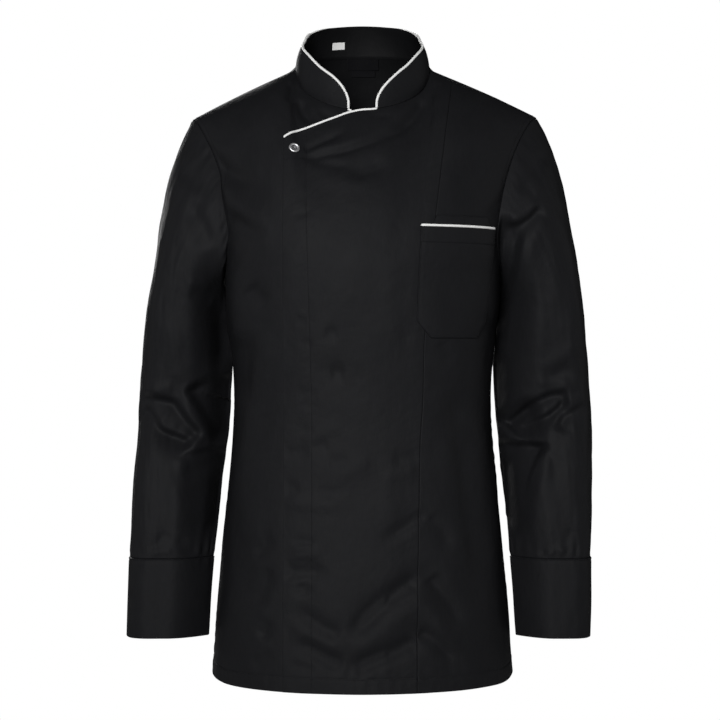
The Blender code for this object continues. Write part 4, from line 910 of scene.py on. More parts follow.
def bead(name, path, look, node):
    """A soft round cord along a path, with rounded ends and the cover's slight unevenness."""
    path = evened(path, BEAD_SPACING)
    along = unit(np.gradient(path, axis=0))
    first = unit(np.cross(along, np.where(np.abs(along[:, 2:3]) < 0.9, [0, 0, 1.0], [0, 1.0, 0])))
    second = np.cross(along, first)
    turn = np.linspace(0, 2 * math.pi, BEAD_SIDES, endpoint=False)[:, None]
    gone, left = away_from(path, 0)
    end = np.clip(np.minimum(gone, left) / PIPING_RADIUS, 0.03, 1)
    size = PIPING_RADIUS * (1 + 0.03 * wander(gone / 5, 71)) * np.sqrt(1 - (1 - end)**2)
    ring = np.cos(turn) * first[:, None] + np.sin(turn) * second[:, None]
    points = path[:, None] + ring * size[:, None, None]
    corners = grid_corners(len(path) - 1, BEAD_SIDES)
    row, column = corners[..., 0], corners[..., 1]
    faces = (row * BEAD_SIDES + column % BEAD_SIDES).tolist()
    sides = list(range(BEAD_SIDES))
    faces += [sides[::-1], [(len(path) - 1) * BEAD_SIDES + side for side in sides]]
    flat = np.stack([column / BEAD_SIDES * 2 * math.pi * PIPING_RADIUS, gone[row]], -1)
    flat = np.concatenate([flat.reshape(-1, 2), np.zeros((2 * BEAD_SIDES, 2))]) * MM
    add_piece(name, points, faces, look, (node,), flat, sharp=False, turned=True)


def edge_path(outer, inner, normal):
    """Middle line of a bead that runs over a sheet's last row."""
    middle = (outer[-1] + inner[-1]) / 2
    beyond = unit(np.cross(unit(np.gradient(middle, axis=0)), normal[-1]))
    return middle + (PIPING_RADIUS - BEAD_SUNK) * beyond * np.sign(beyond[:, 2:3])


def lathe(name, profile, seat, normal, look, node, steps=64):
    """A turned piece from radii and heights over the cloth."""
    turn = np.array(Vector(normal.tolist()).to_track_quat("Z", "Y").to_matrix())
    radius, height = np.array(profile, float).T[..., None]
    ring = np.linspace(0, 2 * math.pi, steps, endpoint=False)
    local = np.stack([radius * np.cos(ring), radius * np.sin(ring), height + 0 * ring], -1)
    corners = grid_corners(len(profile), steps)
    faces = corners[..., 0] % len(profile) * steps + corners[..., 1] % steps
    add_piece(name, local @ turn.T + seat, faces.tolist(), look, (node,), turned=True)


SEWN = []  # points and normals of every line of stitches


def sew(points, normals, lift):
    """Note a line of stitches along points on the cloth."""
    SEWN.append((points + normals * lift, normals))


def line_in(points, normals, distance, side):
    """The line on a grid that lies a distance in from one of its sides, and its normals."""
    values = np.concatenate([points, normals], axis=-1)
    if side in ("bottom", "top"):
        values = values.swapaxes(0, 1)
    if side in ("right", "top"):
        values = values[:, ::-1]
    along = away_from(values[..., :3], 1)[0]
    found = np.array([read_at(distance, gone, row) for gone, row in zip(along, values)])
    return found[:, :3], unit(found[:, 3:])


def stitches(look):
    """Every stitch, as one mesh of small spindles that dip into the cloth at their ends."""
    turns = np.linspace(0, 2 * math.pi, 6)[:-1]
    ring = np.array([(0, math.cos(turn), math.sin(turn)) for turn in turns]) * STITCH_RADIUS
    form = np.vstack([(-STITCH_LENGTH / 2, 0, STITCH_DIP),
                      *(ring + (end * STITCH_LENGTH, 0, STITCH_HIGH) for end in (-0.3, 0.3)),
                      (STITCH_LENGTH / 2, 0, STITCH_DIP)])
    faces = []
    for corner in range(5):
        after = (corner + 1) % 5
        faces += [(0, 1 + after, 1 + corner), (1 + corner, 1 + after, 6 + after, 6 + corner),
                  (11, 6 + corner, 6 + after)]
    points = []
    for path, normal in SEWN:
        gone = away_from(path, 0)[0]
        count = int(gone[-1] / STITCH_PITCH)
        middles = (np.arange(count) + 0.5) * gone[-1] / max(count, 1)
        out = unit(read_at(middles, gone, normal))
        along = unit(read_at(middles + 0.5, gone, path) - read_at(middles - 0.5, gone, path))
        out = unit(out - dot(out, along) * along)
        ways = np.stack([along, np.cross(along, out), out], 1)
        points.append(read_at(middles, gone, path)[:, None] + form @ ways)
    points = np.concatenate(points)
    listed = [[index * len(form) + corner for corner in face] for index in range(len(points))
              for face in faces]
    add_piece("stitches", points, listed, look, sharp=False)


# ---- materials
class Look:
    """A node material in the making."""

    def __init__(self, name, colour, roughness, **constants):
        self.material = bpy.data.materials.new(name)
        self.material.use_nodes = True
        self.tree = self.material.node_tree
        self.shader = self.tree.nodes["Principled BSDF"]
        self.set(self.shader, "Base Color", (*colour, 1))
        self.set(self.shader, "Roughness", roughness)
        for key, value in constants.items():
            self.set(self.shader, key.replace("_", " "), value)
        self.material.diffuse_color = (*colour, 1)

    def set(self, node, socket, value):
        """Set a socket's own value, or link another node's output to it."""
        if isinstance(value, bpy.types.NodeSocket):
            self.tree.links.new(value, node.inputs[socket])
        else:
            node.inputs[socket].default_value = value

    def node(self, kind, settings=(), **inputs):
        """A node with its settings and its inputs, by name or as n and their number."""
        made = self.tree.nodes.new("ShaderNode" + kind)
        for key, value in dict(settings).items():
            setattr(made, key, value)
        for key, value in inputs.items():
            self.set(made, int(key[1:]) if key[1:].isdigit() else key.replace("_", " "), value)
        return made

    def flat(self):
        """The cloth's map, in metres."""
        return self.node("UVMap", {"uv_map": "cloth"}).outputs["UV"]

    def maps(self, place_by, scale=(1, 1, 1), turn=0.0):
        """The coordinates, scaled and turned."""
        return self.node("Mapping", Vector=place_by, Scale=scale, Rotation=(0, 0, turn)).outputs[0]

    def noise(self, place_by, scale, detail=3.0, roughness=0.5):
        """Noise from 0 to 1."""
        return self.node("TexNoise", Vector=place_by, Scale=scale, Detail=detail,
                         Roughness=roughness).outputs["Fac"]

    def spread(self, value, low, high):
        """A noise's value, spread between two others."""
        return self.node("MapRange", Value=value, From_Min=0.25, From_Max=0.75, To_Min=low,
                         To_Max=high).outputs["Result"]

    def mix(self, share, first, second, blend="MIX"):
        """A colour between two others, each three numbers or a node's output."""
        first, second = (colour if isinstance(colour, bpy.types.NodeSocket) else (*colour, 1)
                         for colour in (first, second))
        return self.node("Mix", {"data_type": "RGBA", "blend_type": blend}, n0=share, n6=first,
                         n7=second).outputs[2]

    def calc(self, operation, *values):
        """The result of a sum."""
        inputs = {f"n{index}": value for index, value in enumerate(values)}
        return self.node("Math", {"operation": operation}, **inputs).outputs[0]

    def bumps(self, *heights):
        """Bumps on the shader, one on the other: each a height, its strength and distance."""
        last = None
        for height, strength, distance in heights:
            made = self.node("Bump", Height=height, Strength=strength, Distance=distance)
            if last:
                self.set(made, "Normal", last)
            last = made.outputs["Normal"]
        self.set(self.shader, "Normal", last)

    def weave(self, place_by, pitch, degrees, distortion=1.5):
        """The rounded ribs of a weave at a pitch in metres."""
        turned = self.maps(place_by, turn=math.radians(degrees))
        return self.node("TexWave", {"wave_type": "BANDS", "bands_direction": "X"}, Vector=turned,
                         Scale=RIB_SCALE / pitch, Distortion=distortion, Detail=1.0,
                         Detail_Scale=1.0).outputs["Fac"]


def twill_look(name, tones, roughness):
    """Twill: diagonal ribs, threads that differ a little, faint patches a hand wide, and painted
    shade on the inside faces.
    """
    look = Look(name, tones[1], roughness[0], Specular_IOR_Level=0.08)
    flat = look.flat()
    patches = look.noise(flat, 14.0, 4.0, 0.55)
    threads = look.noise(look.maps(flat, (900, 60, 1)), 1.0, 2.0)
    tone = look.calc("MULTIPLY_ADD", threads, 0.7, look.spread(patches, 0.0, 0.3))
    # Inside faces, far down the map, are multiplied by a darker tone as painted shade
    down = look.node("SeparateXYZ", Vector=flat).outputs["Y"]
    inside = look.calc("LESS_THAN", down, -SHADED_INSIDE_MAP_DROP / 2)
    colour = look.mix(inside, look.mix(tone, *tones), INSIDE_PAINTED_SHADE, "MULTIPLY")
    look.set(look.shader, "Base Color", colour)
    look.set(look.shader, "Roughness", look.spread(patches, *roughness))
    look.bumps((look.weave(flat, 0.0008, 62), 0.25, 0.00016), (threads, 0.2, 0.0001),
               (look.noise(flat, 130.0, 3.0), 0.35, 0.0010),
               (look.noise(flat, 45.0, 2.0), 0.2, 0.003))
    return look.material


def fine_look(name, colour, tones, gloss, noise, bump=(), weave=(), stretch=None, **constants):
    """A look whose tone and gloss follow one noise, with bumps of a weave or of that noise."""
    look = Look(name, colour, gloss[0], **constants)
    place_by = look.flat() if weave else look.node("TexCoord").outputs["Object"]
    grain = look.noise(look.maps(place_by, stretch) if stretch else place_by, *noise)
    look.set(look.shader, "Base Color", look.mix(grain, *tones))
    if gloss[1:]:
        look.set(look.shader, "Roughness", look.spread(grain, *gloss[1:]))
    if bump:
        look.bumps((look.weave(place_by, *weave) if weave else grain, *bump))
    return look.material


def label_look(name, tones, shine):
    """A close woven label, with fine level threads."""
    return fine_look(name, tones[1], tones, (0.6, 0.5, 0.65), (1.0, 2.0), (0.25, 0.00008),
                     (0.0004, 90, 0.4), (120, 2400, 1), Specular_IOR_Level=shine)


def metal_look(name, tones, roughness, grain):
    """Pressed metal with faint marks."""
    return fine_look(name, tones[1], tones, (roughness[0], *roughness), (grain, 4.0, 0.6),
                     (0.15, 0.00005), Metallic=1.0)


# ---- torso
def torso_piece(node, face, over, lines, strips, top, sewn, look):
    """One panel as a shell, with its creases, seams and edges; returns its points and normals."""
    strip, share = [], []
    for index, shares in enumerate(strips):
        shares = shares[min(index, 1):]
        strip += [index] * len(shares)
        share += list(shares)
    strip, share = np.array(strip), np.array(share)
    low = graded(LOW_RISE, GRID, end=False, extra=(HEM_BAND,))
    high = np.linspace(0, 1, HIGH_ROWS + 1)[1:]**1.25
    close = 1 - np.array(CLOSE_IN[::-1]) / HIGH_RISE
    high = np.unique(np.concatenate([high[high < close[0]], close, [1.0]]))
    stops = np.concatenate([low, 1 + high])[:, None]
    up = stops + 0 * share
    for _ in range(8):
        around = 0 * up
        for index, (left, right) in enumerate(zip(lines, lines[1:])):
            around = np.where(strip == index, left(up) * (1 - share) + right(up) * share, around)
        highest = np.minimum(2.0, top(around)) if top else 2.0 + 0 * around
        up = np.where(stops <= 1, stops, 1 + (stops - 1) * (highest - 1))
    outer, normal = skin(face, over, around, up)
    inner = outer - CLOTH * normal
    left, right = away_from(outer, 1)
    bottom, above = away_from(outer, 0)
    dent, pull, thicker = groove(bottom - HEM_BAND), rounded(bottom, EDGE_ROUND), 0
    for away, is_sewn in ((left, sewn[0]), (right, sewn[1]), (above, True)):
        if is_sewn:
            dent = dent + rolled(away)
        else:
            pull = np.maximum(pull, rounded(away, EDGE_ROUND))
            thicker = thicker + EDGE_THICK[0] * np.exp(-(away / EDGE_THICK[1])**2)
    band = 1 - ramp(*BAND_STEP, bottom - HEM_BAND)
    if node == "front_left_centre":
        beside = outer[..., 0] - straight(PLACKET_SEAM, outer[..., 2])
        dent = dent + groove(beside, *PLACKET_GROOVE)
    outer = outer + normal * (BAND_PLIES[0] * band - dent - pull)[..., None]
    inner = inner - normal * (BAND_PLIES[1] * band + thicker - pull)[..., None]
    made = shell("cloth_" + node, outer, inner, look, node)
    sew(*line_in(outer, normal, HEM_BAND, "bottom"), LIFT["hem"])
    return outer, inner, normal


def side_edge(face, side):
    """The armhole, and below it the side seam."""
    last = 1 - SEAM_GAP / SIDE_ROUND
    return lambda up: side * np.where(up <= 1, last, np.minimum(armhole_share(face, up), last))


def torso_pieces(twill, piping):
    """The three fronts, the back, and the piping on the slanted edges."""
    princess, placket = upright_line(PRINCESS_SEAM), upright_line(PLACKET_SEAM)
    overlap_edge, underlap_edge = upright_line(OVERLAP_EDGE), upright_line(UNDERLAP_EDGE)
    gone = SEAM_GAP / SIDE_ROUND
    placket_strip = graded(PLACKET_STRIP, GRID, end=False, extra=(PLACKET_STRIP - 0.8,))
    centre = torso_piece(
        "front_left_centre", -1, True, (overlap_edge, placket, lambda up: princess(up) - gone),
        (placket_strip, graded(CENTRE_STRIP, GRID)), level_line(OVERLAP_TOP), (False, True), twill)
    side = torso_piece(
        "front_left_side", -1, True, (lambda up: princess(up) + gone, side_edge(-1, 1)),
        (graded(SIDE_STRIP, GRID),), None, (True, True), twill)
    right = torso_piece(
        "front_right", -1, False, (side_edge(-1, -1), overlap_edge, underlap_edge),
        (graded(RIGHT_STRIP, GRID, end=False), graded(UNDERLAP_STRIP, COVERED_GRID, start=False)),
        level_line(UNDERLAP_TOP), (True, False), twill)
    back = torso_piece(
        "back", 1, False, (side_edge(1, -1), side_edge(1, 1)), (graded(BACK_STRIP, BACK_GRID),),
        None, (True, True), twill)
    for word, piece, (first, last) in (("overlap", centre, OVERLAP_BEAD),
                                       ("underlap", right, UNDERLAP_BEAD)):
        path = edge_path(*piece)
        inside = (path[:, 0] > first) & (path[:, 0] < last)
        x = np.array([first, *path[inside, 0], last])
        bead("bead_" + word, read_at(x, path[:, 0], path), piping, "piping_" + word)
    # Sewing: placket, the tack across it, and the armholes
    at = len(placket_strip) - 1
    sew(centre[0][3:-1, at], centre[2][3:-1, at], LIFT["placket"])
    x = np.linspace(PLACKET_TACK[0][0], PLACKET_TACK[1][0], 16)
    sew(*on_front(x, straight(PLACKET_TACK, x), dressed_height), LIFT["hem"])
    for piece, edge in ((right, "left"), (side, "right"), (back, "left"), (back, "right")):
        for distance in ARMHOLE_STITCHES:
            points, normals = line_in(piece[0], piece[2], distance, edge)
            high = points[:, 2] > CHEST_Z + 4
            sew(points[high], normals[high], LIFT["armhole"])


# ---- sleeves and cuffs
def armhole_loop(side):
    """The armhole's points, normals, ways beyond and shares, from the underarm up the front."""
    fine = np.linspace(0, 1, 240)
    values = []
    for face, order in ((-1, 1 + fine), (1, 1 + fine[::-1])):
        around = side * armhole_share(face, order)
        values.append(np.hstack(skin(face, face < 0 < side, around, order, smooth_height)))
    closed = np.concatenate([values[0], values[1][1:-1], values[0][:1]])
    gone = away_from(closed[:, :3], 0)[0]
    share = np.arange(SLEEVE_COLUMNS) / SLEEVE_COLUMNS
    found = read_at(share * gone[-1], gone, closed)
    points, normals = found[:, :3], unit(found[:, 3:])
    for _ in range(3):
        beside = np.roll(normals, 1, axis=0) + np.roll(normals, -1, axis=0)
        normals = unit(normals + 0.5 * beside)
    along = unit(np.roll(points, -1, axis=0) - np.roll(points, 1, axis=0))
    normals = unit(normals - dot(normals, along) * along)
    return points, normals, side * np.cross(along, normals), share


def next_wall(edge, normal, beyond, way, gap=0.1):
    """Where a wall that leaves an edge along a way starts, and its normal there."""
    rise, run = dot(way, normal), dot(way, beyond)
    turn = np.arctan2(rise, run)
    inset = np.where(turn < 0, CLOTH * np.sin(-turn), 0)
    start = edge + gap * (np.cos(turn / 2) * beyond + np.sin(turn / 2) * normal) + inset * beyond
    return start, unit(run * normal - rise * beyond)


def tucked(outer, inner, edge, normal, beyond):
    """A piece's points with a seam allowance before its first row, in the piece it is sewn to."""
    length, high, low = TUCK
    first, under = (edge - normal * depth - beyond * length for depth in (high, low))
    return np.concatenate([first[None], outer]), np.concatenate([under[None], inner])


def ring_of(rows, side, turn, z):
    """Level sleeve ring: 0 degrees nearest the body, 90 at the front."""
    inner, outer, middle, depth = spline(rows, z + 0 * turn)
    x = (inner + outer) / 2 - (outer - inner) / 2 * np.cos(turn)
    inwards = ramp(-0.3, 0.3, np.cos(turn))
    full = SLEEVE_FULL[0] * (1 - inwards) + SLEEVE_FULL[1] * inwards
    full = full * ramp(-0.1, 0.3, np.sin(turn))
    y = middle - depth * np.sin(turn) * (1 + full * np.cos(turn)**2)
    return np.stack([side * x, y, z + 0 * turn], -1)


def grid_normals(points):
    """Unit normals of a closed ring grid, pointing away from each ring's middle."""
    across = np.roll(points, -1, axis=1) - np.roll(points, 1, axis=1)
    normal = unit(np.cross(across, np.gradient(points, axis=0)))
    away = points - points.mean(axis=1, keepdims=True)
    return normal * np.sign(dot(normal, away).mean(axis=1, keepdims=True))


def sleeve_and_cuff(side, twill):
    """A sleeve from its armhole to the wrist, and its cuff."""
    word = "left" if side > 0 else "right"
    edge, normal, beyond, share = armhole_loop(side)
    turn = 2 * math.pi * share
    way = unit(np.stack(spline(SLEEVE_START, share), -1)) * [side, 1, 1]
    start, first_normal = next_wall(edge, normal, beyond, way)
    top = ring_of(SLEEVE[side], side, turn, SLEEVE_TOP_Z)
    fall = top - ring_of(SLEEVE[side], side, turn, SLEEVE_TOP_Z + 1.0)
    span = np.linalg.norm(top - start, axis=-1, keepdims=True)
    t = graded(CAP_LENGTH, SLEEVE_GRID, end=False)[:-1, None, None]
    cap = hermite(start, way * span, top, fall * span, t)
    length = SLEEVE_TOP_Z - SLEEVE_END_Z
    stops = SLEEVE_TOP_Z - length * graded(length, SLEEVE_GRID, start=False)
    outer = np.concatenate([cap, ring_of(SLEEVE[side], side, turn, stops[:, None])])
    normals = grid_normals(outer)
    x, z = np.abs(outer[..., 0]), outer[..., 2]
    begun, ending = away_from(outer, 0)
    still = ramp(0, EDGE_STILL, begun) * ramp(0, 8, ending)
    front = (SLEEVE_SOFT * fold_height(SLEEVE_FRONT[side], x, z)
             + crease_height(SLEEVE_CREASES[side], x, z) + step_height(SLEEVE_STEPS[side], x, z))
    back = (SLEEVE_SOFT * fold_height(SLEEVE_BACK, x, z)
            + crease_height(SLEEVE_BACK_CREASES, x, z + BACK_SHIFT[side]))
    folds = ramp(*AWAY, -np.sin(turn)) * back - ramp(*FACING, np.sin(turn)) * front
    wide = SLEEVE_ROUND / math.pi * np.sin(turn) + 90 * np.cos(turn)
    round_at = share * SLEEVE_ROUND + 0 * z
    height = (sum(waves(wide, z, 81 + side + long, size, long) for size, long in WAVES)
              + ripples(round_at, begun, 91 + side, *CAP_RIPPLES)
              + ripples(round_at, ending, 95 + side, *WRIST_RIPPLES))
    outer = outer + normals * (height * still)[..., None]
    outer[..., 1] += folds * still
    normals = grid_normals(outer)
    begun, ending = away_from(outer, 0)
    normals[0] = first_normal
    inner = outer - CLOTH * normals
    outer = outer - normals * (rolled(begun) + rolled(ending))[..., None]
    outer, inner = tucked(outer, inner, edge, normal, beyond)
    sleeve = shell(f"cloth_sleeve_{word}", outer, inner, twill, f"sleeve_{word}", ring=True)

    high, low = SLEEVE_END_Z - SEAM_GAP, CUFF[side][0][0]
    stops = high - (high - low) * graded(high - low, SLEEVE_GRID)
    outer = ring_of(CUFF[side], side, turn, stops[:, None])
    normals = unit(grid_normals(outer) * [1, 1, 0])
    begun, ending = away_from(outer, 0)
    height = (waves(wide, outer[..., 2], 101 + side, 0.35, 70)
              + ripples(share * SLEEVE_ROUND + 0 * begun, begun, 105 + side, *CUFF_RIPPLES))
    pull = rounded(ending, FOLDED / 2)
    inner = outer + normals * (height - FOLDED + pull)[..., None]
    dent = rolled(begun) + groove(begun - CUFF_STITCHES, *FINE_GROOVE)
    outer = outer + normals * (height - pull - dent)[..., None]
    cuff = shell(f"cloth_cuff_{word}", outer, inner, twill, f"cuff_{word}", ring=True)
    loop = [*range(SLEEVE_COLUMNS), 0]
    sew(*line_in(outer[:, loop], normals[:, loop], CUFF_STITCHES, "bottom"), LIFT["cuff"])


# ---- collar
def collar_side(side):
    """Half the collar, front end to back middle: base, top, share of its height, angles, seam."""
    span, count, power = COLLAR_FRONT
    near = COLLAR_END + np.linspace(0, 1, count)**power * span
    angles = np.concatenate([near, np.linspace(COLLAR_END + span, 180, COLLAR_REST)[1:]])
    found = []
    for face, turn in ((-1, angles[angles <= 90]), (1, 180 - angles[angles > 90])):
        around = side * NECK_SHARE * turn / 90
        found.append(np.stack(skin(face, face < 0 < side, around, 2.0, smooth_height)))
    base, normal = np.concatenate(found, axis=1)
    for _ in range(4):
        normal[1:-1] = unit(normal[1:-1] + 0.5 * (normal[:-2] + normal[2:]))
    along = unit(np.gradient(base, axis=0))
    normal = unit(normal - dot(normal, along) * along)
    beyond = -side * np.cross(along, normal)
    top = np.stack(spline(COLLAR_TOP, angles), -1) * [side, 1, 1]
    start, _ = next_wall(base, normal, beyond, unit(top - base))
    corner = COLLAR_CORNER[side]
    short = np.clip((corner - angles) / (corner - COLLAR_END + COLLAR_STUB), 0, 1)
    share = (1 - short**CORNER_POWER)**(1 / CORNER_POWER)
    return start, top, share, side * angles, base, normal, beyond


def collar_grid():
    """The collar from its right front end to its left: points, normals, angles, rows and seam."""
    halves = zip(collar_side(-1), collar_side(1))
    start, top, share, angles, *tuck = (np.concatenate([right, left[-2::-1]])
                                        for right, left in halves)
    stops = graded(COLLAR_HEIGHT, COLLAR_GRID)
    level = stops[:, None] * share
    outer = start + level[..., None] * (top - start)
    across = np.gradient(start + (top - start) * 0.5, axis=0)
    normal = unit(np.cross(across, top - start))
    normal = normal * np.sign(dot(normal, start - start.mean(axis=0)))
    round_at = away_from(start, 0)[0]
    fine = waves(round_at, level * COLLAR_HEIGHT, 111, 0.3, 60)
    height = (4 * level * (1 - level) * COLLAR_BOW
              + fine * ramp(0, 0.25, level) * ramp(0, 0.15, share - level + 0.02))
    outer = outer + height[..., None] * normal
    return outer, outer - FOLDED * normal, normal + 0 * outer, angles, stops, tuck


def collar_piece(twill, piping):
    """The stand collar and the bead round its edge."""
    outer, inner, normal, angles, stops, tuck = collar_grid()
    rim_outer, rim_inner = (np.concatenate([grid[2:-1, 0], grid[-1], grid[-2:1:-1, -1]])
                            for grid in (outer, inner))
    last = len(outer) - 3
    below = np.concatenate([np.repeat(outer[1:2, 5], last, axis=0), outer[0],
                            np.repeat(outer[1:2, -6], last, axis=0)])
    outwards = unit(rim_outer - rim_inner)
    middle = (rim_outer + rim_inner) / 2
    beyond = unit(np.cross(unit(np.gradient(middle, axis=0)), outwards))
    beyond = beyond * np.sign(dot(beyond, middle - below))
    behind = ramp(*BEAD_CROSSES, middle[:, 1])[:, None]
    clear = PIPING_RADIUS - BEAD_SUNK
    drop = BEAD_DROP * ramp(0.7, 1, behind)
    over = (FOLDED / 2 * np.minimum(2 * behind, 1) + clear * np.sin(behind * math.pi / 2)
            + drop * BEAD_LEAN)
    above = clear * np.cos(behind * math.pi / 2) - drop
    path = evened(middle + beyond * above + outwards * over, BEAD_SPACING)
    for _ in range(6):
        path[1:-1] = (path[:-2] + 2 * path[1:-1] + path[2:]) / 4
    bead("bead_collar", path, piping, "piping_collar")

    below, above = away_from(outer, 0)
    left, right = away_from(outer, 1)
    pull = rounded(np.minimum(above, np.minimum(left, right)), FOLDED / 2)
    dent = rolled(below) + groove(below - COLLAR_STITCHES, *FINE_GROOVE)
    outer = outer - normal * (pull + dent)[..., None]
    inner = inner + normal * pull[..., None]
    made = shell("cloth_collar", *tucked(outer, inner, *tuck), twill, "collar")
    points, found = line_in(outer, normal, COLLAR_STITCHES, "bottom")
    tall = np.abs(angles) > 30
    sew(points[tall], found[tall], LIFT["collar"])
    return inner, normal, angles, stops


# ---- pocket, snap and labels
def patch(rows, upright, across):
    """A patch on the front: x, z, points, normals, distances to its sides, bottom and top."""
    z = rows[0][0] + (rows[-1][0] - rows[0][0]) * upright[:, None] + 0 * across
    x = straight(rows, z) * (1 - across) + straight(rows, z, 2) * across
    cloth, normal = on_front(x, z)
    return x, z, cloth, normal, np.minimum(*away_from(cloth, 1)), *away_from(cloth, 0)


def pocket_pieces(twill, piping):
    """The patch pocket, the pen slot behind its mouth and the bead on its edge."""
    tall = POCKET[-1][0] - POCKET[0][0]
    x, z, cloth, normal, near_side, near_bottom, near_top = patch(
        POCKET, graded(tall, POCKET_GRID, extra=(tall - POCKET_BAND,)),
        graded(POCKET_WIDTH, POCKET_GRID))
    nearest = np.minimum(near_side, near_bottom)
    follow = dot(on_front(x, z, dressed_height)[0] - cloth, normal)[..., 0] * POCKET_FOLLOWS
    stand = POCKET_REST + (POCKET_MOUTH - POCKET_REST) * ramp(*POCKET_OPENS, z) + follow
    stand = stand + waves(x, z, 121, 0.3, 45) + ripples(z, near_side, 131, *POCKET_RIPPLES)
    inner = cloth + normal * (stand - POCKET_SUNK)[..., None]
    band = 1 - ramp(-0.5, 0.7, near_top - POCKET_BAND)
    dent = (groove(nearest - POCKET_STITCHES, *FINE_GROOVE) + groove(near_top - POCKET_BAND)
            + rounded(nearest, 0.9) + 0.6 * rolled(near_top))
    outer = cloth + normal * (stand + CLOTH + 0.3 * band - dent)[..., None]
    made = shell("cloth_pocket", outer, inner, twill, "pocket_chest")
    for side in ("left", "right", "bottom"):
        sew(*line_in(outer, normal, POCKET_STITCHES, side), LIFT["pocket"])
    sew(*line_in(outer, normal, POCKET_BAND, "top"), LIFT["band"])
    # Bar tacks at the mouth's two corners
    for side in ("left", "right"):
        for distance in BAR_TACKS:
            points, found = line_in(outer, normal, distance, side)
            chosen = points[:, 2] > points[-1, 2] - POCKET_BAND
            sew(points[chosen], found[chosen], LIFT["pocket"])
    bead("bead_pocket", edge_path(outer, inner, normal), piping, "piping_pocket")

    x, z, cloth, normal, near_side, _, near_top = patch(
        PEN_SLOT, graded(PEN_HEIGHT, PEN_GRID, start=False), graded(PEN_WIDTH, PEN_GRID))
    nearest = np.minimum(near_side, near_top)
    dent = (rounded(nearest, 0.7) + groove(nearest - PEN_STITCHES, *FINE_GROOVE)
            + groove(x - PEN_DIVIDE, 0.5, 0.9))
    outer = cloth + normal * (POCKET_REST + PEN_SLOT_WALL - dent)[..., None]
    made = shell("cloth_pen_slot", outer, cloth + normal * (POCKET_REST - POCKET_SUNK), twill,
                 "pocket_pen_slot")
    sew(*line_in(outer, normal, PEN_STITCHES, "top"), LIFT["pocket"])
    column = int(np.argmin(np.abs(x[-1] - PEN_DIVIDE)))
    sew(outer[:, column], normal[:, column], LIFT["band"])


def snap_pieces():
    """The ring snap: a bright rolled ring, and its sunk centre with a small dimple."""
    x, z = (np.array([at]) for at in SNAP_PLACE)
    seat, normal = (found[0] for found in on_front(x, z, dressed_height))
    wide, high = SNAP_WIRE
    ring = [(SNAP_RING + wide * math.cos(turn), SNAP_HIGH + high * math.sin(turn))
            for turn in np.linspace(0, 2 * math.pi, 20, endpoint=False)]
    bright = metal_look("snap_bright", BRIGHT_TONES, (0.42, 0.55), 400.0)
    dull = metal_look("snap_dull", DULL_TONES, (0.45, 0.6), 700.0)
    lathe("snap_bright_ring", ring, seat, normal, bright, "snap_ring")
    lathe("snap_sunk_centre", SNAP_CENTRE, seat, normal, dull, "snap_centre")


def label_pieces(collar):
    """The bare labels inside the back of the neck and on the collar's inner side."""
    black = label_look("label_black_weave", BLACK_LABEL_TONES, 0.08)
    white = label_look("label_white_weave", WHITE_LABEL_TONES, 0.35)
    for node, box in (("label_neck", NECK_LABEL), ("label_size", SIZE_LABEL)):
        left, right, bottom, top = box
        x = left + (right - left) * graded(right - left, 1.5)
        z = bottom + (top - bottom) * graded(top - bottom, 1.2)[:, None]
        cloth, normal = skin(1, False, *place(1, x, z), smooth_height)
        lift = CLOTH + LABEL_LIFT + 0.25 * waves(x, z + 0 * x, 141, 1, 30)
        pull = rounded(np.minimum(*away_from(cloth, 1)), LABEL_WALL / 2)
        inside = cloth - normal * (lift + pull)[..., None]
        outside = cloth - normal * (lift + LABEL_WALL - pull)[..., None]
        made = shell(node + "_bare", inside, outside, black, node, "label_black")
        sew(*line_in(outside, -normal, 1.0, "top"), LIFT["label"])
    inner, normal, angles, stops = collar
    first, last, low, high = WHITE_LABEL
    order = np.arange(len(angles))
    half = len(angles) // 2 + 1
    at = np.interp(np.linspace(first, last, 14), angles[:half][::-1], order[:half][::-1])
    rows = np.interp(np.linspace(low, high, 9), stops, np.arange(len(stops)))

    def read(grid):
        levels = read_at(rows, np.arange(len(grid)), grid.reshape(len(grid), -1))
        return np.array([read_at(at, order, row) for row in levels.reshape(len(rows), -1, 3)])

    out = unit(read(normal))
    inside = read(inner) - out * WHITE_LIFT
    made = shell("label_white_bare", inside, inside - out * LABEL_WALL, white, "label_white",
                 "label_white")


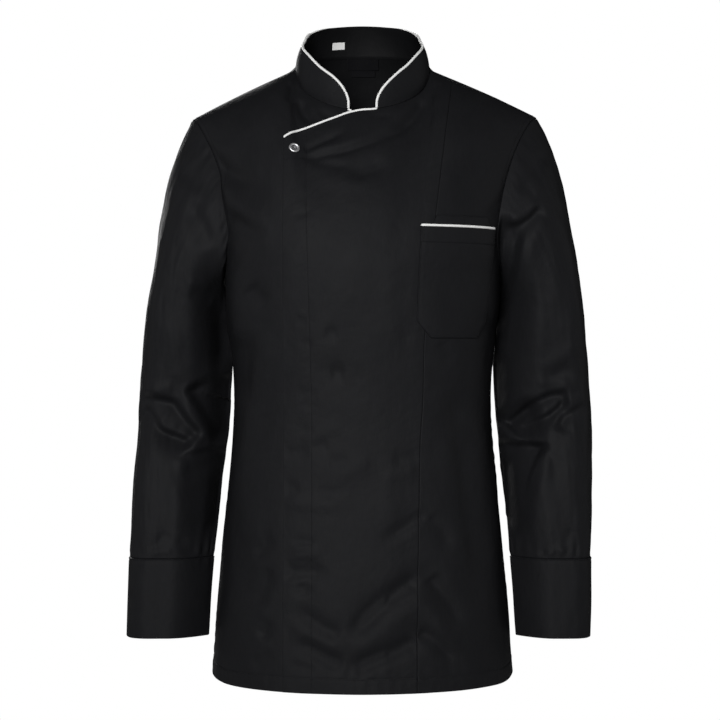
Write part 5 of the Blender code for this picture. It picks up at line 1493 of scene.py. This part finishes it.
# ---- studio
def studio():
    """Camera at the photograph's angle, soft light from in front and above, pale floor."""
    scene = bpy.context.scene

    def add(name, data, place_at=(0, 0, 0), turn=(0, 0, 0)):
        made = bpy.data.objects.new(name, data)
        made.location, made.rotation_euler = place_at, turn
        scene.collection.objects.link(made)
        return made

    camera = bpy.data.cameras.new("camera")
    camera.sensor_width = 36.0
    camera.lens = LENS
    camera.clip_end = 50.0
    scene.camera = add("camera", camera, CAMERA_AT, (math.pi / 2, 0, 0))
    for name, place_at, size, power, spread in LIGHTS:
        lamp = bpy.data.lights.new(name, "AREA")
        lamp.shape = "RECTANGLE"
        lamp.size, lamp.size_y = size
        lamp.energy = power
        lamp.spread = math.radians(spread)
        aim = Vector(AIM) - Vector(place_at)
        add(name, lamp, place_at, aim.to_track_quat("-Z", "Y").to_euler())
    world = bpy.data.worlds.new("studio")
    world.use_nodes = True
    scene.world = world
    nodes, links = world.node_tree.nodes, world.node_tree.links
    room, backdrop = nodes["Background"], nodes.new("ShaderNodeBackground")
    for node, strength in ((room, ROOM_LIGHT), (backdrop, 1.0)):
        node.inputs["Color"].default_value = (1, 1, 1, 1)
        node.inputs["Strength"].default_value = strength
    path = nodes.new("ShaderNodeLightPath")
    mixed = nodes.new("ShaderNodeMixShader")
    links.new(path.outputs["Is Camera Ray"], mixed.inputs["Fac"])
    links.new(room.outputs["Background"], mixed.inputs[1])
    links.new(backdrop.outputs["Background"], mixed.inputs[2])
    links.new(mixed.outputs["Shader"], nodes["World Output"].inputs["Surface"])
    scene.view_settings.view_transform = "Standard"

    turn = np.linspace(0, 2 * math.pi, FLOOR_SIDES, endpoint=False)
    disc = np.stack([FLOOR_RADIUS * np.cos(turn), FLOOR_RADIUS * np.sin(turn),
                     FLOOR_Z + 0 * turn], -1)
    mesh = bpy.data.meshes.new("floor")
    mesh.from_pydata(disc.tolist(), [], [list(range(FLOOR_SIDES))])
    look = fine_look("pale_floor", (0.82, 0.82, 0.82), FLOOR_TONES, (0.7,), (3.0, 3.0))
    mesh.materials.append(look)
    add("floor", mesh)


def main():
    """Dress the jacket."""
    studio()
    twill = twill_look("black_twill", TWILL_TONES, (0.58, 0.68))
    piping = fine_look("white_piping", (0.80, 0.80, 0.79), PIPING_TONES, (0.5, 0.42, 0.6),
                       (60.0, 3.0), (0.3, 0.00012), (0.0007, 40),
                       Sheen_Weight=0.15, Sheen_Roughness=0.4)
    thread = fine_look("black_thread", (0.008, 0.008, 0.009), THREAD_TONES, (0.55, 0.42, 0.6),
                       (2600.0, 2.0), (0.3, 0.0001), Specular_IOR_Level=0.1)
    torso_pieces(twill, piping)
    for side in (1, -1):
        sleeve_and_cuff(side, twill)
    collar = collar_piece(twill, piping)
    pocket_pieces(twill, piping)
    snap_pieces()
    label_pieces(collar)
    stitches(thread)


main()
